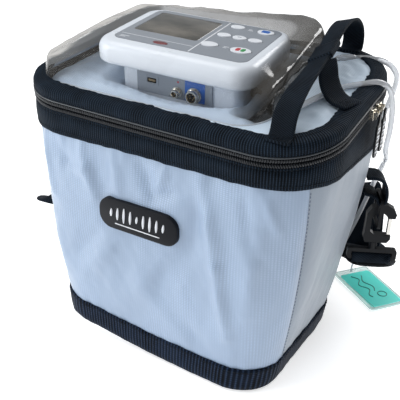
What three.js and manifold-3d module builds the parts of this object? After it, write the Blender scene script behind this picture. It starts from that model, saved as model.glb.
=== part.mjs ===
// A portable oxygen concentrator in its insulated shoulder bag: a soft cooler-style bag with a sloping zipped
// lid, a clear vinyl hood over the unit's controls, a shoulder strap, a luggage tag and the oxygen tube.
// Millimetres, +Z up, +X to the bag's right, -Y to its front. The origin is the centre of the bag's underside.
import * as THREE from 'three';
import { mergeVertices } from 'three/addons/utils/BufferGeometryUtils.js';
import Module from 'manifold-3d';

// Driving dimensions of the bag.
const FOOT = { width: 233, depth: 177, corner: 38 };
const MOUTH = { width: 300, depth: 187, corner: 56 };
const WALL_TOP = 213;
const WALL_THICKNESS = 7;
const LINER_THICKNESS = 1.2;
const GAP = 0.35;
const BASE_BAND_HEIGHT = 25;
const BASE_PANEL_THICKNESS = 3;
const SEAM_Y = 42;
const BINDING = 1.6;

// The lid's plane rises towards the back. Lid coordinates start at the front edge of the zip.
const LID_SLOPE = THREE.MathUtils.degToRad(7.5);
const ZIP_FRONT_HEIGHT = 239;
const LID_DEPTH = MOUTH.depth / Math.cos(LID_SLOPE);
const ZIP_TAPE = 2.35;
const LID_TOP = 15;
const LID_RIM = 11;
const HOOD = { left: -136, right: 96, front: 14.5, back: 173.5, corner: 40, top: 56, wall: 1.2 };

// The unit, in its own frame: origin at the centre of the control face, +Z out of that face.
const UNIT_PLACE = new THREE.Vector3(-7, -1, 297);
const UNIT_TILT = { yaw: 4, pitch: 6, roll: 2.5 };
const COVER = { left: -78, right: 75, front: -58, back: 48, corner: 20, height: 20, wall: 2.5 };
const FASCIA = { left: -65, right: 64, front: -43, back: 43, corner: 9, thickness: 0.6 };
const CASE = { left: -56, right: 62, front: -44, back: 46, corner: 8, top: -21.4, bottom: -205, wall: 2.5 };
const SCREEN = { left: -59, right: 6, front: -17, back: 37 };
const KEYS = [
  ['key_power', 49, -19, 9.5, 6.5],
  ['key_enter', 19, -18, 8, 5.5],
  ['key_left', 20, 9, 6.5, 4.5],
  ['key_centre', 35, 9, 6.5, 4.5],
  ['key_right', 50, 9, 6.5, 4.5],
  ['key_up', 22, 34, 7, 4.5],
  ['key_alarm_silence', 50, 33, 8, 5.5],
];
const KEY_CLEARANCE = 0.4;
const KEY_PROUD = 0.9;

// Strap hardware, in a frame whose +X points straight out of the bag's rear corner.
const HARDWARE_POINT = { x: 141, y: 60, z: 106 };
const HARDWARE_HEADING = THREE.MathUtils.degToRad(27);
const HOOK_OUT = 17.5;
const WEBBING = 38;
const HANDLE_WEBBING = 20;
const WEBBING_THICKNESS = 1.8;
const PAD_THICKNESS = 12;
const STRAP_ABOVE_PAD = PAD_THICKNESS / 2 + WEBBING_THICKNESS / 2 + 1.2;

// The oxygen tube.
const TUBE_RADIUS = 2.5;
const COIL = { x: 50, y: 131.5, radius: 27.5, halfWidth: 7.9, height: 10.4 };

const wasm = await Module();
wasm.setup();

// ---- Booleans -------------------------------------------------------------------------------------------------

function toManifold(geometry) {
  const bare = geometry.clone();
  bare.deleteAttribute('normal');
  bare.deleteAttribute('uv');
  const merged = mergeVertices(bare, 1e-4);
  return new wasm.Manifold(new wasm.Mesh({
    numProp: 3,
    vertProperties: Float32Array.from(merged.attributes.position.array),
    triVerts: Uint32Array.from(merged.index.array),
  }));
}

function toGeometry(manifold) {
  const mesh = manifold.getMesh();
  const geometry = new THREE.BufferGeometry();
  geometry.setAttribute('position', new THREE.BufferAttribute(Float32Array.from(mesh.vertProperties), 3));
  geometry.setIndex(Array.from(mesh.triVerts));
  return geometry;
}

function cut(geometry, ...tools) {
  let body = toManifold(geometry);
  for (const tool of tools) {
    body = body.subtract(toManifold(tool));
  }
  return toGeometry(body);
}

function join(...geometries) {
  let body = toManifold(geometries[0]);
  for (const other of geometries.slice(1)) {
    body = body.add(toManifold(other));
  }
  return toGeometry(body);
}

// ---- Shapes ---------------------------------------------------------------------------------------------------

function roundedRectangle(left, right, front, back, corner) {
  const shape = new THREE.Shape();
  shape.moveTo(right, front + corner);
  shape.lineTo(right, back - corner);
  shape.absarc(right - corner, back - corner, corner, 0, Math.PI / 2);
  shape.lineTo(left + corner, back);
  shape.absarc(left + corner, back - corner, corner, Math.PI / 2, Math.PI);
  shape.lineTo(left, front + corner);
  shape.absarc(left + corner, front + corner, corner, Math.PI, 1.5 * Math.PI);
  shape.lineTo(right - corner, front);
  shape.absarc(right - corner, front + corner, corner, 1.5 * Math.PI, 2 * Math.PI);
  return shape;
}

function polygon(points) {
  return new THREE.Shape(points.map(([x, y]) => new THREE.Vector2(x, y)));
}

function ellipse(x, y, radiusX, radiusY) {
  const shape = new THREE.Shape();
  shape.absellipse(x, y, radiusX, radiusY, 0, 2 * Math.PI);
  return shape;
}

// A flat shape raised from one height to another.
function slab(shape, bottom, top, { steps = 1, curveSegments = 4 } = {}) {
  const geometry = new THREE.ExtrudeGeometry(shape, { depth: top - bottom, steps, curveSegments, bevelEnabled: false });
  return geometry.translate(0, 0, bottom);
}

function box(left, right, front, back, bottom, top) {
  const geometry = new THREE.BoxGeometry(right - left, back - front, top - bottom);
  return geometry.translate((left + right) / 2, (front + back) / 2, (bottom + top) / 2);
}

// A shape drawn in X and Z, and given its thickness along Y.
function upright(shape, thickness, curveSegments = 5) {
  const geometry = new THREE.ExtrudeGeometry(shape, { depth: thickness, curveSegments, bevelEnabled: false });
  return geometry.translate(0, 0, -thickness / 2).rotateX(Math.PI / 2);
}

function cylinder(radius, length, x, y, z, { axis = 'z', sides = 16 } = {}) {
  const geometry = new THREE.CylinderGeometry(radius, radius, length, sides);
  if (axis === 'z') {
    geometry.rotateX(Math.PI / 2);
  }
  if (axis === 'x') {
    geometry.rotateZ(Math.PI / 2);
  }
  return geometry.translate(x, y, z);
}

// A flat strip of webbing bent along a curve. Its width stays level, or follows the given direction.
function webbing(points, width, { thickness = WEBBING_THICKNESS, steps = 24, across = null } = {}) {
  const curve = new THREE.CatmullRomCurve3(points.map((point) => new THREE.Vector3(...point)));
  const section = polygon([[-width / 2, -thickness / 2], [width / 2, -thickness / 2], [width / 2, thickness / 2],
    [-width / 2, thickness / 2]]);
  const geometry = slab(section, 0, 1, { steps });
  const position = geometry.attributes.position;
  for (let i = 0; i < position.count; i += 1) {
    const at = Math.min(1, Math.max(0, position.getZ(i)));
    const along = curve.getTangentAt(at);
    const side = across ? new THREE.Vector3(...across) : new THREE.Vector3(along.y, -along.x, 0);
    side.addScaledVector(along, -side.dot(along)).normalize();
    const normal = new THREE.Vector3().crossVectors(along, side);
    const moved = curve.getPointAt(at);
    moved.addScaledVector(side, position.getX(i)).addScaledVector(normal, position.getY(i));
    position.setXYZ(i, moved.x, moved.y, moved.z);
  }
  return geometry;
}

function tube(points, radius, steps, sides = 8) {
  const curve = new THREE.CatmullRomCurve3(points.map((point) => new THREE.Vector3(...point)));
  const corners = [];
  for (let i = 0; i < sides; i += 1) {
    const angle = (2 * Math.PI * i) / sides;
    corners.push([radius * Math.cos(angle), radius * Math.sin(angle)]);
  }
  return new THREE.ExtrudeGeometry(polygon(corners), { steps, extrudePath: curve, bevelEnabled: false });
}

// ---- The node list --------------------------------------------------------------------------------------------

const model = new THREE.Group();

const lidFrame = new THREE.Group();
lidFrame.position.set(0, -MOUTH.depth / 2, ZIP_FRONT_HEIGHT);
lidFrame.rotation.x = LID_SLOPE;
model.add(lidFrame);

const unitFrame = new THREE.Group();
unitFrame.position.copy(UNIT_PLACE);
unitFrame.rotation.set(
  THREE.MathUtils.degToRad(UNIT_TILT.pitch),
  THREE.MathUtils.degToRad(UNIT_TILT.roll),
  THREE.MathUtils.degToRad(UNIT_TILT.yaw),
  'ZXY',
);
model.add(unitFrame);

const FINISH = {
  silverNylon: { color: 0xaab8cc, roughness: 0.45, metalness: 0.1 },
  greyNylon: { color: 0x9aa3b0, roughness: 0.5, metalness: 0.1 },
  blackWebbing: { color: 0x14171c, roughness: 0.85, metalness: 0 },
  blackPlastic: { color: 0x0e0f12, roughness: 0.4, metalness: 0 },
  whitePlastic: { color: 0xe4eaf4, roughness: 0.35, metalness: 0 },
  fasciaGrey: { color: 0x7d8793, roughness: 0.3, metalness: 0 },
  screenGlass: { color: 0x2c2a26, roughness: 0.1, metalness: 0 },
  keyWhite: { color: 0xe8edf2, roughness: 0.5, metalness: 0 },
  vinyl: { color: 0xb8b2a6, roughness: 0.1, metalness: 0 },
  foil: { color: 0xc8ccd0, roughness: 0.3, metalness: 0.8 },
  foam: { color: 0x50545a, roughness: 0.95, metalness: 0 },
  steel: { color: 0xb0a890, roughness: 0.25, metalness: 0.9 },
  aluminium: { color: 0xbfc3c7, roughness: 0.4, metalness: 0.8 },
  brass: { color: 0xb08d4a, roughness: 0.35, metalness: 0.8 },
  circuitGreen: { color: 0x1f5a38, roughness: 0.5, metalness: 0 },
  cellBlue: { color: 0x274a80, roughness: 0.5, metalness: 0 },
  mintVinyl: { color: 0x6fdcc8, roughness: 0.3, metalness: 0 },
  clearPvc: { color: 0xd6d6da, roughness: 0.2, metalness: 0 },
};

function add(name, geometry, finish, frame = model) {
  const mesh = new THREE.Mesh(geometry, new THREE.MeshStandardMaterial(FINISH[finish]));
  mesh.name = name;
  frame.add(mesh);
  return mesh;
}

// ---- The bag's body -------------------------------------------------------------------------------------------

// The outline of the bag's mouth, grown or shrunk by an offset.
function mouthOutline(offset) {
  const halfWidth = MOUTH.width / 2 + offset;
  const halfDepth = MOUTH.depth / 2 + offset;
  return roundedRectangle(-halfWidth, halfWidth, -halfDepth, halfDepth, MOUTH.corner + offset);
}

// Narrows a straight-sided solid towards the foot, keeping every wall's thickness.
function flare(geometry) {
  const position = geometry.attributes.position;
  const coreX = MOUTH.width / 2 - MOUTH.corner;
  const coreY = MOUTH.depth / 2 - MOUTH.corner;
  for (let i = 0; i < position.count; i += 1) {
    const level = THREE.MathUtils.clamp(position.getZ(i) / WALL_TOP, 0, 1);
    const width = THREE.MathUtils.lerp(FOOT.width, MOUTH.width, level);
    const depth = THREE.MathUtils.lerp(FOOT.depth, MOUTH.depth, level);
    const corner = THREE.MathUtils.lerp(FOOT.corner, MOUTH.corner, level);
    const core = new THREE.Vector2(
      THREE.MathUtils.clamp(position.getX(i), -coreX, coreX),
      THREE.MathUtils.clamp(position.getY(i), -coreY, coreY),
    );
    const arm = new THREE.Vector2(position.getX(i), position.getY(i)).sub(core);
    arm.setLength(Math.max(0, arm.length() - MOUTH.corner + corner));
    core.x *= (width / 2 - corner) / coreX;
    core.y *= (depth / 2 - corner) / coreY;
    position.setXYZ(i, core.x + arm.x, core.y + arm.y, position.getZ(i));
  }
  return geometry;
}

function flaredSlab(offset, bottom, top, steps) {
  return flare(slab(mouthOutline(offset), bottom, top, { steps }));
}

// A ring between two offsets of the mouth's outline. The cutter runs past both ends of the ring.
function flaredRing(outer, inner, bottom, top, steps) {
  return cut(flaredSlab(outer, bottom, top, steps), flaredSlab(inner, bottom - 1, top + 1, steps));
}

function addBagBody() {
  const wallFoot = BASE_PANEL_THICKNESS + GAP;
  const trayInside = flaredSlab(GAP, BASE_PANEL_THICKNESS, BASE_BAND_HEIGHT + 1, 2);
  add('base_tray', cut(flaredSlab(BINDING, 0, BASE_BAND_HEIGHT, 2), trayInside), 'blackWebbing');

  const wall = flaredRing(0, -WALL_THICKNESS, wallFoot, WALL_TOP, 3);
  const reach = 400;
  const aheadOfSeam = box(-reach, reach, -reach, -SEAM_Y, -1, reach);
  const behindSeam = box(-reach, reach, -SEAM_Y - GAP, reach, -1, reach);
  add('front_panel', cut(wall, behindSeam), 'silverNylon');
  add('rear_shell', cut(wall, aheadOfSeam), 'silverNylon');

  const linerOuter = -WALL_THICKNESS - GAP;
  const linerShell = flaredSlab(linerOuter, wallFoot, WALL_TOP, 2);
  const linerInner = flaredSlab(linerOuter - LINER_THICKNESS, wallFoot + LINER_THICKNESS, WALL_TOP + 1, 2);
  add('foil_liner', cut(linerShell, linerInner), 'foil');

  // The binding on the rim is cut to the lid's slope.
  const rimRing = flaredRing(BINDING, -WALL_THICKNESS, WALL_TOP + GAP, WALL_TOP + 60, 1);
  const above = box(-reach, reach, -reach, reach, -ZIP_TAPE - 2 * GAP, reach);
  above.rotateX(LID_SLOPE).translate(0, -MOUTH.depth / 2, ZIP_FRONT_HEIGHT);
  add('top_band', cut(rimRing, above), 'blackWebbing');
  add('badge', frontBadge(), 'blackPlastic');
}

// The badge lies on the sloping front panel.
function frontBadge() {
  const centre = { x: -7, z: 150 };
  const lean = Math.atan((MOUTH.depth - FOOT.depth) / 2 / WALL_TOP);
  const shape = roundedRectangle(-42, 42, -13, 13, 12);
  const surface = FOOT.depth / 2 + centre.z * Math.tan(lean);
  const plate = slab(shape, GAP, GAP + 1.5, { curveSegments: 6 });
  return plate.rotateX(Math.PI / 2 + lean).translate(centre.x, -surface, centre.z);
}

// ---- The zip and the lid --------------------------------------------------------------------------------------

function lidOutline(offset) {
  const halfWidth = MOUTH.width / 2 + offset;
  return roundedRectangle(-halfWidth, halfWidth, -offset, LID_DEPTH + offset, MOUTH.corner + offset);
}

function lidSlab(offset, bottom, top) {
  return slab(lidOutline(offset), bottom, top);
}

function hoodSolid(shrink, bottom, top) {
  const outline = roundedRectangle(
    HOOD.left + shrink, HOOD.right - shrink, HOOD.front + shrink, HOOD.back - shrink, HOOD.corner - shrink);
  const steps = 4;
  const roundFrom = 0.25;
  const shoulder = 12;
  const geometry = slab(outline, 0, 1, { steps });
  const centre = new THREE.Vector2((HOOD.left + HOOD.right) / 2, (HOOD.front + HOOD.back) / 2);
  const half = new THREE.Vector2((HOOD.right - HOOD.left) / 2, (HOOD.back - HOOD.front) / 2);
  const position = geometry.attributes.position;
  for (let i = 0; i < position.count; i += 1) {
    const level = position.getZ(i);
    const turn = Math.max(0, (level - roundFrom) / (1 - roundFrom)) * (Math.PI / 2);
    const inset = shoulder * (1 - Math.cos(turn));
    const straight = Math.min(1, level / roundFrom) * (top - bottom - shoulder);
    const height = bottom + straight + shoulder * Math.sin(turn);
    const x = centre.x + (position.getX(i) - centre.x) * (1 - inset / half.x);
    const y = centre.y + (position.getY(i) - centre.y) * (1 - inset / half.y);
    position.setXYZ(i, x, y, height);
  }
  return geometry;
}

function addLid() {
  const tapeOuter = 3;
  const tapeInner = -1.5;
  const zipRing = (bottom, top) => cut(lidSlab(tapeOuter, bottom, top), lidSlab(tapeInner, bottom - 1, top + 1));
  add('zipper_lower', zipRing(-ZIP_TAPE - GAP, -GAP), 'blackWebbing', lidFrame);
  add('zipper_upper', zipRing(GAP, GAP + ZIP_TAPE), 'blackWebbing', lidFrame);

  const bandFoot = 2 * GAP + ZIP_TAPE;
  const edge = 4;
  const bandLow = lidSlab(BINDING, bandFoot, LID_TOP - edge);
  const bandMiddle = lidSlab(BINDING - edge / 4, LID_TOP - edge, LID_TOP - edge / 2);
  const bandTop = lidSlab(BINDING - edge, LID_TOP - edge / 2, LID_TOP);
  const innerLow = lidSlab(-4, bandFoot - 1, LID_TOP - 3);
  const innerTop = lidSlab(-LID_RIM, bandFoot - 1, LID_TOP + 1);
  add('lid_band', cut(join(bandLow, bandMiddle, bandTop), innerLow, innerTop), 'blackWebbing', lidFrame);

  const panelInset = 3;
  const window = roundedRectangle(
    HOOD.left + panelInset, HOOD.right - panelInset, HOOD.front + panelInset, HOOD.back - panelInset,
    HOOD.corner - panelInset);
  const panel = lidSlab(-LID_RIM - GAP, LID_TOP - 3, LID_TOP - 1);
  add('lid_panel', cut(panel, slab(window, 0, LID_TOP + 5)), 'greyNylon', lidFrame);

  const hoodFoot = LID_TOP - 1 + GAP;
  const outside = hoodSolid(0, hoodFoot, HOOD.top);
  const inside = hoodSolid(HOOD.wall, hoodFoot - 1, HOOD.top - HOOD.wall);
  add('vinyl_hood', cut(outside, inside), 'vinyl', lidFrame);
}

// ---- Handles, in lid coordinates ------------------------------------------------------------------------------

function addHandles() {
  const lift = LID_TOP + GAP + WEBBING_THICKNESS / 2;
  const route = [
    [116.5, 4, lift], [116.2, 12, lift + 0.4], [114.5, 24, 30], [113, 45, 38], [112, 74, 42.5], [110, 106, 46.5],
    [107.5, 132, 51.5], [106, 149, 52.5], [105.5, 163, 50.5], [105, 173, 46], [104.5, 184, 36.5], [104.4, 187, 26.5],
    [104.5, 184, lift + 0.6], [104.7, 176, lift],
  ];
  add('handle_strap', webbing(route, HANDLE_WEBBING, { steps: 36, across: [1, 0.04, 0] }), 'blackWebbing', lidFrame);
  const sideLeg = [
    [113.5, 101, 41.5], [116, 99, 35.5], [119, 95, 27.5], [125, 89, 21], [133, 84, lift + 0.9], [147, 79, lift + 0.9],
  ];
  add('handle_side_leg', webbing(sideLeg, HANDLE_WEBBING, { steps: 16, across: [0.4, 0.9, 0] }), 'blackWebbing',
    lidFrame);
}

// ---- Zip sliders and pullers on the right-hand run -------------------------------------------------------------

const SLIDER_OUT = MOUTH.width / 2 + 3 + GAP;
const SLIDERS = [['front', 105], ['rear', 118]];

function addZipSliders() {
  for (const [name, along] of SLIDERS) {
    const bodyShape = roundedRectangle(-5, 5, -4, 4, 1.5);
    const body = slab(bodyShape, 0, 3.2, { curveSegments: 2 }).rotateY(Math.PI / 2).translate(SLIDER_OUT, along, 0);
    const bridge = box(SLIDER_OUT + 3, SLIDER_OUT + 6.4, along - 3.2, along - 2, -3, 3);
    const bridgeTwo = box(SLIDER_OUT + 3, SLIDER_OUT + 6.4, along + 2, along + 3.2, -3, 3);
    const crossbar = box(SLIDER_OUT + 5.2, SLIDER_OUT + 6.4, along - 3.2, along + 3.2, -1, 1);
    add(`zip_slider_${name}`, join(body, bridge, bridgeTwo, crossbar), 'blackPlastic', lidFrame);
  }
}

function addZipPullers() {
  for (const [name, along] of SLIDERS) {
    const shape = polygon([[-1.6, 0.9], [1.6, 0.9], [1.6, -6], [4, -9], [4, -34], [2.5, -37], [-2.5, -37],
      [-4, -34], [-4, -9], [-1.6, -6]]);
    const x = SLIDER_OUT + 8;
    const pull = slab(shape, -0.9, 0.9).rotateX(Math.PI / 2).rotateZ(Math.PI / 2);
    const puller = new THREE.Group();
    puller.position.set(x, along, 0);
    puller.rotation.x = -LID_SLOPE;
    lidFrame.add(puller);
    add(`zip_puller_${name}`, pull, 'blackPlastic', puller);
  }
}

// ---- Strap tabs, rings, snap hooks -----------------------------------------------------------------------------

// Hardware is drawn for the right side and turned over for the left one.
function hardwareSides() {
  const sides = [];
  for (const [name, sign] of [['right', 1], ['left', -1]]) {
    const frame = new THREE.Group();
    frame.position.set(sign * HARDWARE_POINT.x, HARDWARE_POINT.y, HARDWARE_POINT.z);
    frame.rotation.z = sign > 0 ? HARDWARE_HEADING : Math.PI - HARDWARE_HEADING;
    frame.updateMatrix();
    sides.push({ name, frame });
  }
  return sides;
}

function tabShape() {
  const shape = polygon([[11, 52], [12.5, 46], [16, 43], [21, 44.5], [22.5, 52], [21.5, 64], [16, 70], [8, 72],
    [2.2, 70], [2.2, 54]]);
  shape.holes.push(new THREE.Path().absarc(HOOK_OUT, 49, 2.7, 0, 2 * Math.PI, true));
  return shape;
}

function ringShape() {
  const shape = roundedRectangle(-16.4, 16.4, 20, 50.6, 4);
  shape.holes.push(roundedRectangle(-13.4, 13.4, 23, 47.4, 2.5));
  return shape;
}

function hookShape() {
  return polygon([[-9, 0], [12, 0], [15, 4], [15, 8], [-1, 8.5], [-5, 12], [-5, 26], [-2, 30], [2, 32.4],
    [6, 31.6], [9, 29], [10, 26.6], [17, 26.6], [18, 31], [15, 37], [9, 40.4], [1, 40.6], [-6, 37.6], [-10, 31],
    [-10.4, 12], [-11, 5]]);
}

function addStrapHardware() {
  for (const { name, frame } of hardwareSides()) {
    model.add(frame);
    add(`strap_tab_${name}`, upright(tabShape(), 25, 6), 'blackWebbing', frame);

    const ring = new THREE.ExtrudeGeometry(ringShape(), { depth: 3, curveSegments: 3, bevelEnabled: false });
    ring.translate(0, 0, -1.5).rotateX(Math.PI / 2).rotateZ(Math.PI / 2).translate(HOOK_OUT, 0, 0);
    add(`ring_${name}`, ring, 'blackPlastic', frame);

    add(`hook_${name}`, upright(hookShape(), 8).translate(HOOK_OUT, 0, 0), 'blackPlastic', frame);
    const gate = roundedRectangle(11.2, 14.4, 8.5, 26.1, 1.2);
    add(`gate_${name}`, upright(gate, 5, 2).translate(HOOK_OUT, 0, 0), 'steel', frame);

    const post = cylinder(4, 7.6, HOOK_OUT, 0, -4.3, { sides: 12 });
    const eye = roundedRectangle(-24, 24, -20, -8, 3);
    eye.holes.push(roundedRectangle(-19.8, 19.8, -16.6, -12, 0.5));
    add(`swivel_${name}`, join(upright(eye, 6, 3).translate(HOOK_OUT, 0, 0), post), 'blackPlastic', frame);
  }
}

function addShoulderStrap() {
  const pad = [[153, 92, 66], [138, 118, 60], [102, 138, 54], [55, 145, 42], [5, 145, 28], [-42, 145, 15],
    [-70, 145, 9]];
  add('shoulder_pad', webbing(pad, 50, { thickness: PAD_THICKNESS, steps: 22 }), 'blackWebbing');
  const strap = [
    [156.8, 69.5, 84.4], [157.6, 77, 80], [156.4, 85, 76.4],
    ...pad.map(([x, y, z]) => [x, y, z + STRAP_ABOVE_PAD]),
    [-86, 144.8, 10], [-100, 143.5, 4.2], [-122, 138, 2.4], [-165, 118, 4], [-205, 86, 12], [-236, 60, 30],
    [-243, 42, 52], [-222, 38, 70], [-190, 48, 80], [-166, 60, 83.5],
  ];
  add('shoulder_strap', webbing(strap, WEBBING, { steps: 56 }), 'blackWebbing');
}

// ---- Luggage tag on the floor behind the right corner ----------------------------------------------------------

const TAG = { x: 139, y: 146.5, heading: THREE.MathUtils.degToRad(-36.9), length: 80, width: 46, thickness: 2.4 };

function addTag() {
  const frame = new THREE.Group();
  frame.position.set(TAG.x, TAG.y, 0);
  frame.rotation.z = TAG.heading;
  model.add(frame);
  const outline = roundedRectangle(-TAG.length / 2, TAG.length / 2, -TAG.width / 2, TAG.width / 2, 5);
  outline.holes.push(roundedRectangle(-36.5, -33.5, -7, 7, 1.4));
  add('luggage_tag', slab(outline, 0, TAG.thickness, { curveSegments: 3 }), 'mintVinyl', frame);
  const loop = [[-35, -1, 1.2], [-36.5, 0, 7], [-38, 3, 16], [-39, 5, 27], [-38.5, 6, 37], [-37, 7, 42]];
  add('tag_loop', tube(loop, 1.2, 12), 'clearPvc', frame);
}

// ---- The oxygen tube --------------------------------------------------------------------------------------------

const TUBE_OUT = [
  [106.3, -50.5, 262.6], [110, -40.6, 263.8], [116, -20, 266.5],
  [121, -4, 268.7], [129, 10, 271], [140, 20, 273], [150, 29, 274.2], [157, 39.5, 268], [159.6, 49, 250],
  [159.6, 54, 228], [157.5, 58, 207], [155.5, 71, 192.5], [150, 85.5, 180], [142, 95, 158], [133, 98.5, 126],
  [123, 99, 92], [112, 98, 60], [100, 98.5, 28], [86, 98, 8], [76, 97, 3.2], [68.5, 96.7, 2.8],
];
const TUBE_BACK = [
  [75.4, 140, 13.2], [79, 128, 13.6], [84.5, 116, 17], [90, 109.5, 28], [96, 108.5, 50], [105, 108.5, 90], [117, 108, 140],
  [130, 104, 190], [141, 96, 228], [149.5, 84, 254], [152.5, 74, 270], [148, 69, 278.6], [140, 70.5, 281.3],
  [131, 74, 281], [118, 73.5, 280.4], [108, 67, 279.3],
];

function addOxygenTube() {
  add('tube_out', tube(TUBE_OUT, TUBE_RADIUS, 44), 'clearPvc');
  add('tube_back', tube(TUBE_BACK, TUBE_RADIUS, 32), 'clearPvc');
  const inner = COIL.radius - COIL.halfWidth;
  const outer = COIL.radius + COIL.halfWidth;
  const profile = [[inner, 0], [outer, 0], [outer, COIL.height], [inner, COIL.height], [inner, 0]];
  const ring = new THREE.LatheGeometry(profile.map(([x, y]) => new THREE.Vector2(x, y)), 28);
  add('tube_coil', ring.rotateX(Math.PI / 2).translate(COIL.x, COIL.y, 0), 'clearPvc');
  const connector = [[107.2, 66.3, 279.2], [101, 61, 278.6], [99.5, 55, 277.8]];
  add('tube_connector', tube(connector, 3.2, 4, 10), 'clearPvc');
}

// ---- The unit: cover, fascia, display, keys ----------------------------------------------------------------------

function plate(edge, bottom, top, options) {
  return slab(roundedRectangle(edge.left, edge.right, edge.front, edge.back, edge.corner), bottom, top, options);
}

function shrunk(edge, by) {
  return {
    left: edge.left + by,
    right: edge.right - by,
    front: edge.front + by,
    back: edge.back - by,
    corner: Math.max(0.5, edge.corner - by),
  };
}

function addUnitTop() {
  const coverTop = -FASCIA.thickness - GAP;
  const bevel = 5;
  const body = plate(COVER, coverTop - COVER.height, coverTop - bevel);
  const shoulder = plate(shrunk(COVER, 1.6), coverTop - bevel, coverTop - 1.6);
  const crown = plate(shrunk(COVER, bevel), coverTop - 1.6, coverTop);
  const pocket = plate(shrunk(COVER, COVER.wall + bevel), coverTop - COVER.height - 1, coverTop - COVER.wall - 1.5);
  const keyHoles = KEYS.map(([, x, y, radiusX, radiusY]) =>
    slab(ellipse(x, y, radiusX + KEY_CLEARANCE, radiusY + KEY_CLEARANCE), -12, 3, { curveSegments: 6 }));
  const screenHole = box(SCREEN.left, SCREEN.right, SCREEN.front, SCREEN.back, -12, 3);
  add('unit_top_cover', cut(join(body, shoulder, crown), pocket, screenHole, ...keyHoles), 'whitePlastic', unitFrame);
  add('fascia_overlay', cut(plate(FASCIA, -FASCIA.thickness, 0), screenHole, ...keyHoles), 'fasciaGrey', unitFrame);

  const lens = box(SCREEN.left + GAP, SCREEN.right - GAP, SCREEN.front + GAP, SCREEN.back - GAP, -2, -0.1);
  const panel = box(SCREEN.left + 2, SCREEN.right - 2, SCREEN.front + 2, SCREEN.back - 2, -9, -1.9);
  add('display', join(lens, panel), 'screenGlass', unitFrame);

  for (const [name, x, y, radiusX, radiusY] of KEYS) {
    add(name, slab(ellipse(x, y, radiusX, radiusY), -6, KEY_PROUD, { curveSegments: 6 }), 'keyWhite', unitFrame);
  }
}

// ---- The unit: case, ports, outlet --------------------------------------------------------------------------------

const PORT_HOLES = [
  { name: 'connector_small', x: 2.6, z: -37.5, radius: 4.2 },
  { name: 'connector_large', x: 19.4, z: -37, radius: 6.2 },
];
const OUTLET = { y: -18, z: -34 };

function addUnitCase() {
  const shell = plate(CASE, CASE.bottom, CASE.top);
  const hollow = plate(shrunk(CASE, CASE.wall), CASE.bottom - 1, CASE.top + 1);
  const portHoles = PORT_HOLES.map(({ x, z, radius }) => cylinder(radius, 12, x, CASE.front, z, { axis: 'y' }));
  const outletHole = cylinder(3.4, 12, CASE.right, OUTLET.y, OUTLET.z, { axis: 'x', sides: 12 });
  add('unit_case', cut(shell, hollow, ...portHoles, outletHole), 'whitePlastic', unitFrame);
  const baseTop = CASE.bottom - GAP;
  const baseInset = CASE.wall + GAP;
  add('unit_base', join(plate(CASE, baseTop - 3, baseTop), plate(shrunk(CASE, baseInset), baseTop - 0.5, baseTop + 2)),
    'whitePlastic', unitFrame);

  const plateFront = CASE.front - GAP;
  const portPlate = box(-38, 36.5, plateFront - 1, plateFront, -44, -22);
  const socket = box(-28.5, -17.5, plateFront - 2, plateFront + 1, -35, -29);
  add('port_plate', cut(portPlate, socket, ...portHoles), 'fasciaGrey', unitFrame);

  for (const { name, x, z, radius } of PORT_HOLES) {
    const barrel = cylinder(radius - GAP, 16, x, CASE.front + 2, z, { axis: 'y' });
    const mouth = cylinder(radius - 1.6, 5, x, CASE.front - 6.5, z, { axis: 'y', sides: 12 });
    add(name, cut(barrel, mouth), 'steel', unitFrame);
  }

  const stem = cylinder(3.05, 14, CASE.right + 1, OUTLET.y, OUTLET.z, { axis: 'x', sides: 12 });
  const flange = cylinder(5, 2, CASE.right + GAP + 1, OUTLET.y, OUTLET.z, { axis: 'x', sides: 12 });
  const bore = cylinder(1.2, 20, CASE.right + 5, OUTLET.y, OUTLET.z, { axis: 'x', sides: 8 });
  add('outlet_barb', cut(join(stem, flange), bore), 'blackPlastic', unitFrame);
}

// ---- The unit: what makes the oxygen -------------------------------------------------------------------------------

const FAN = { x: 50, y: -19, z: -100, size: 40, depth: 11, bore: 18.2 };

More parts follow.
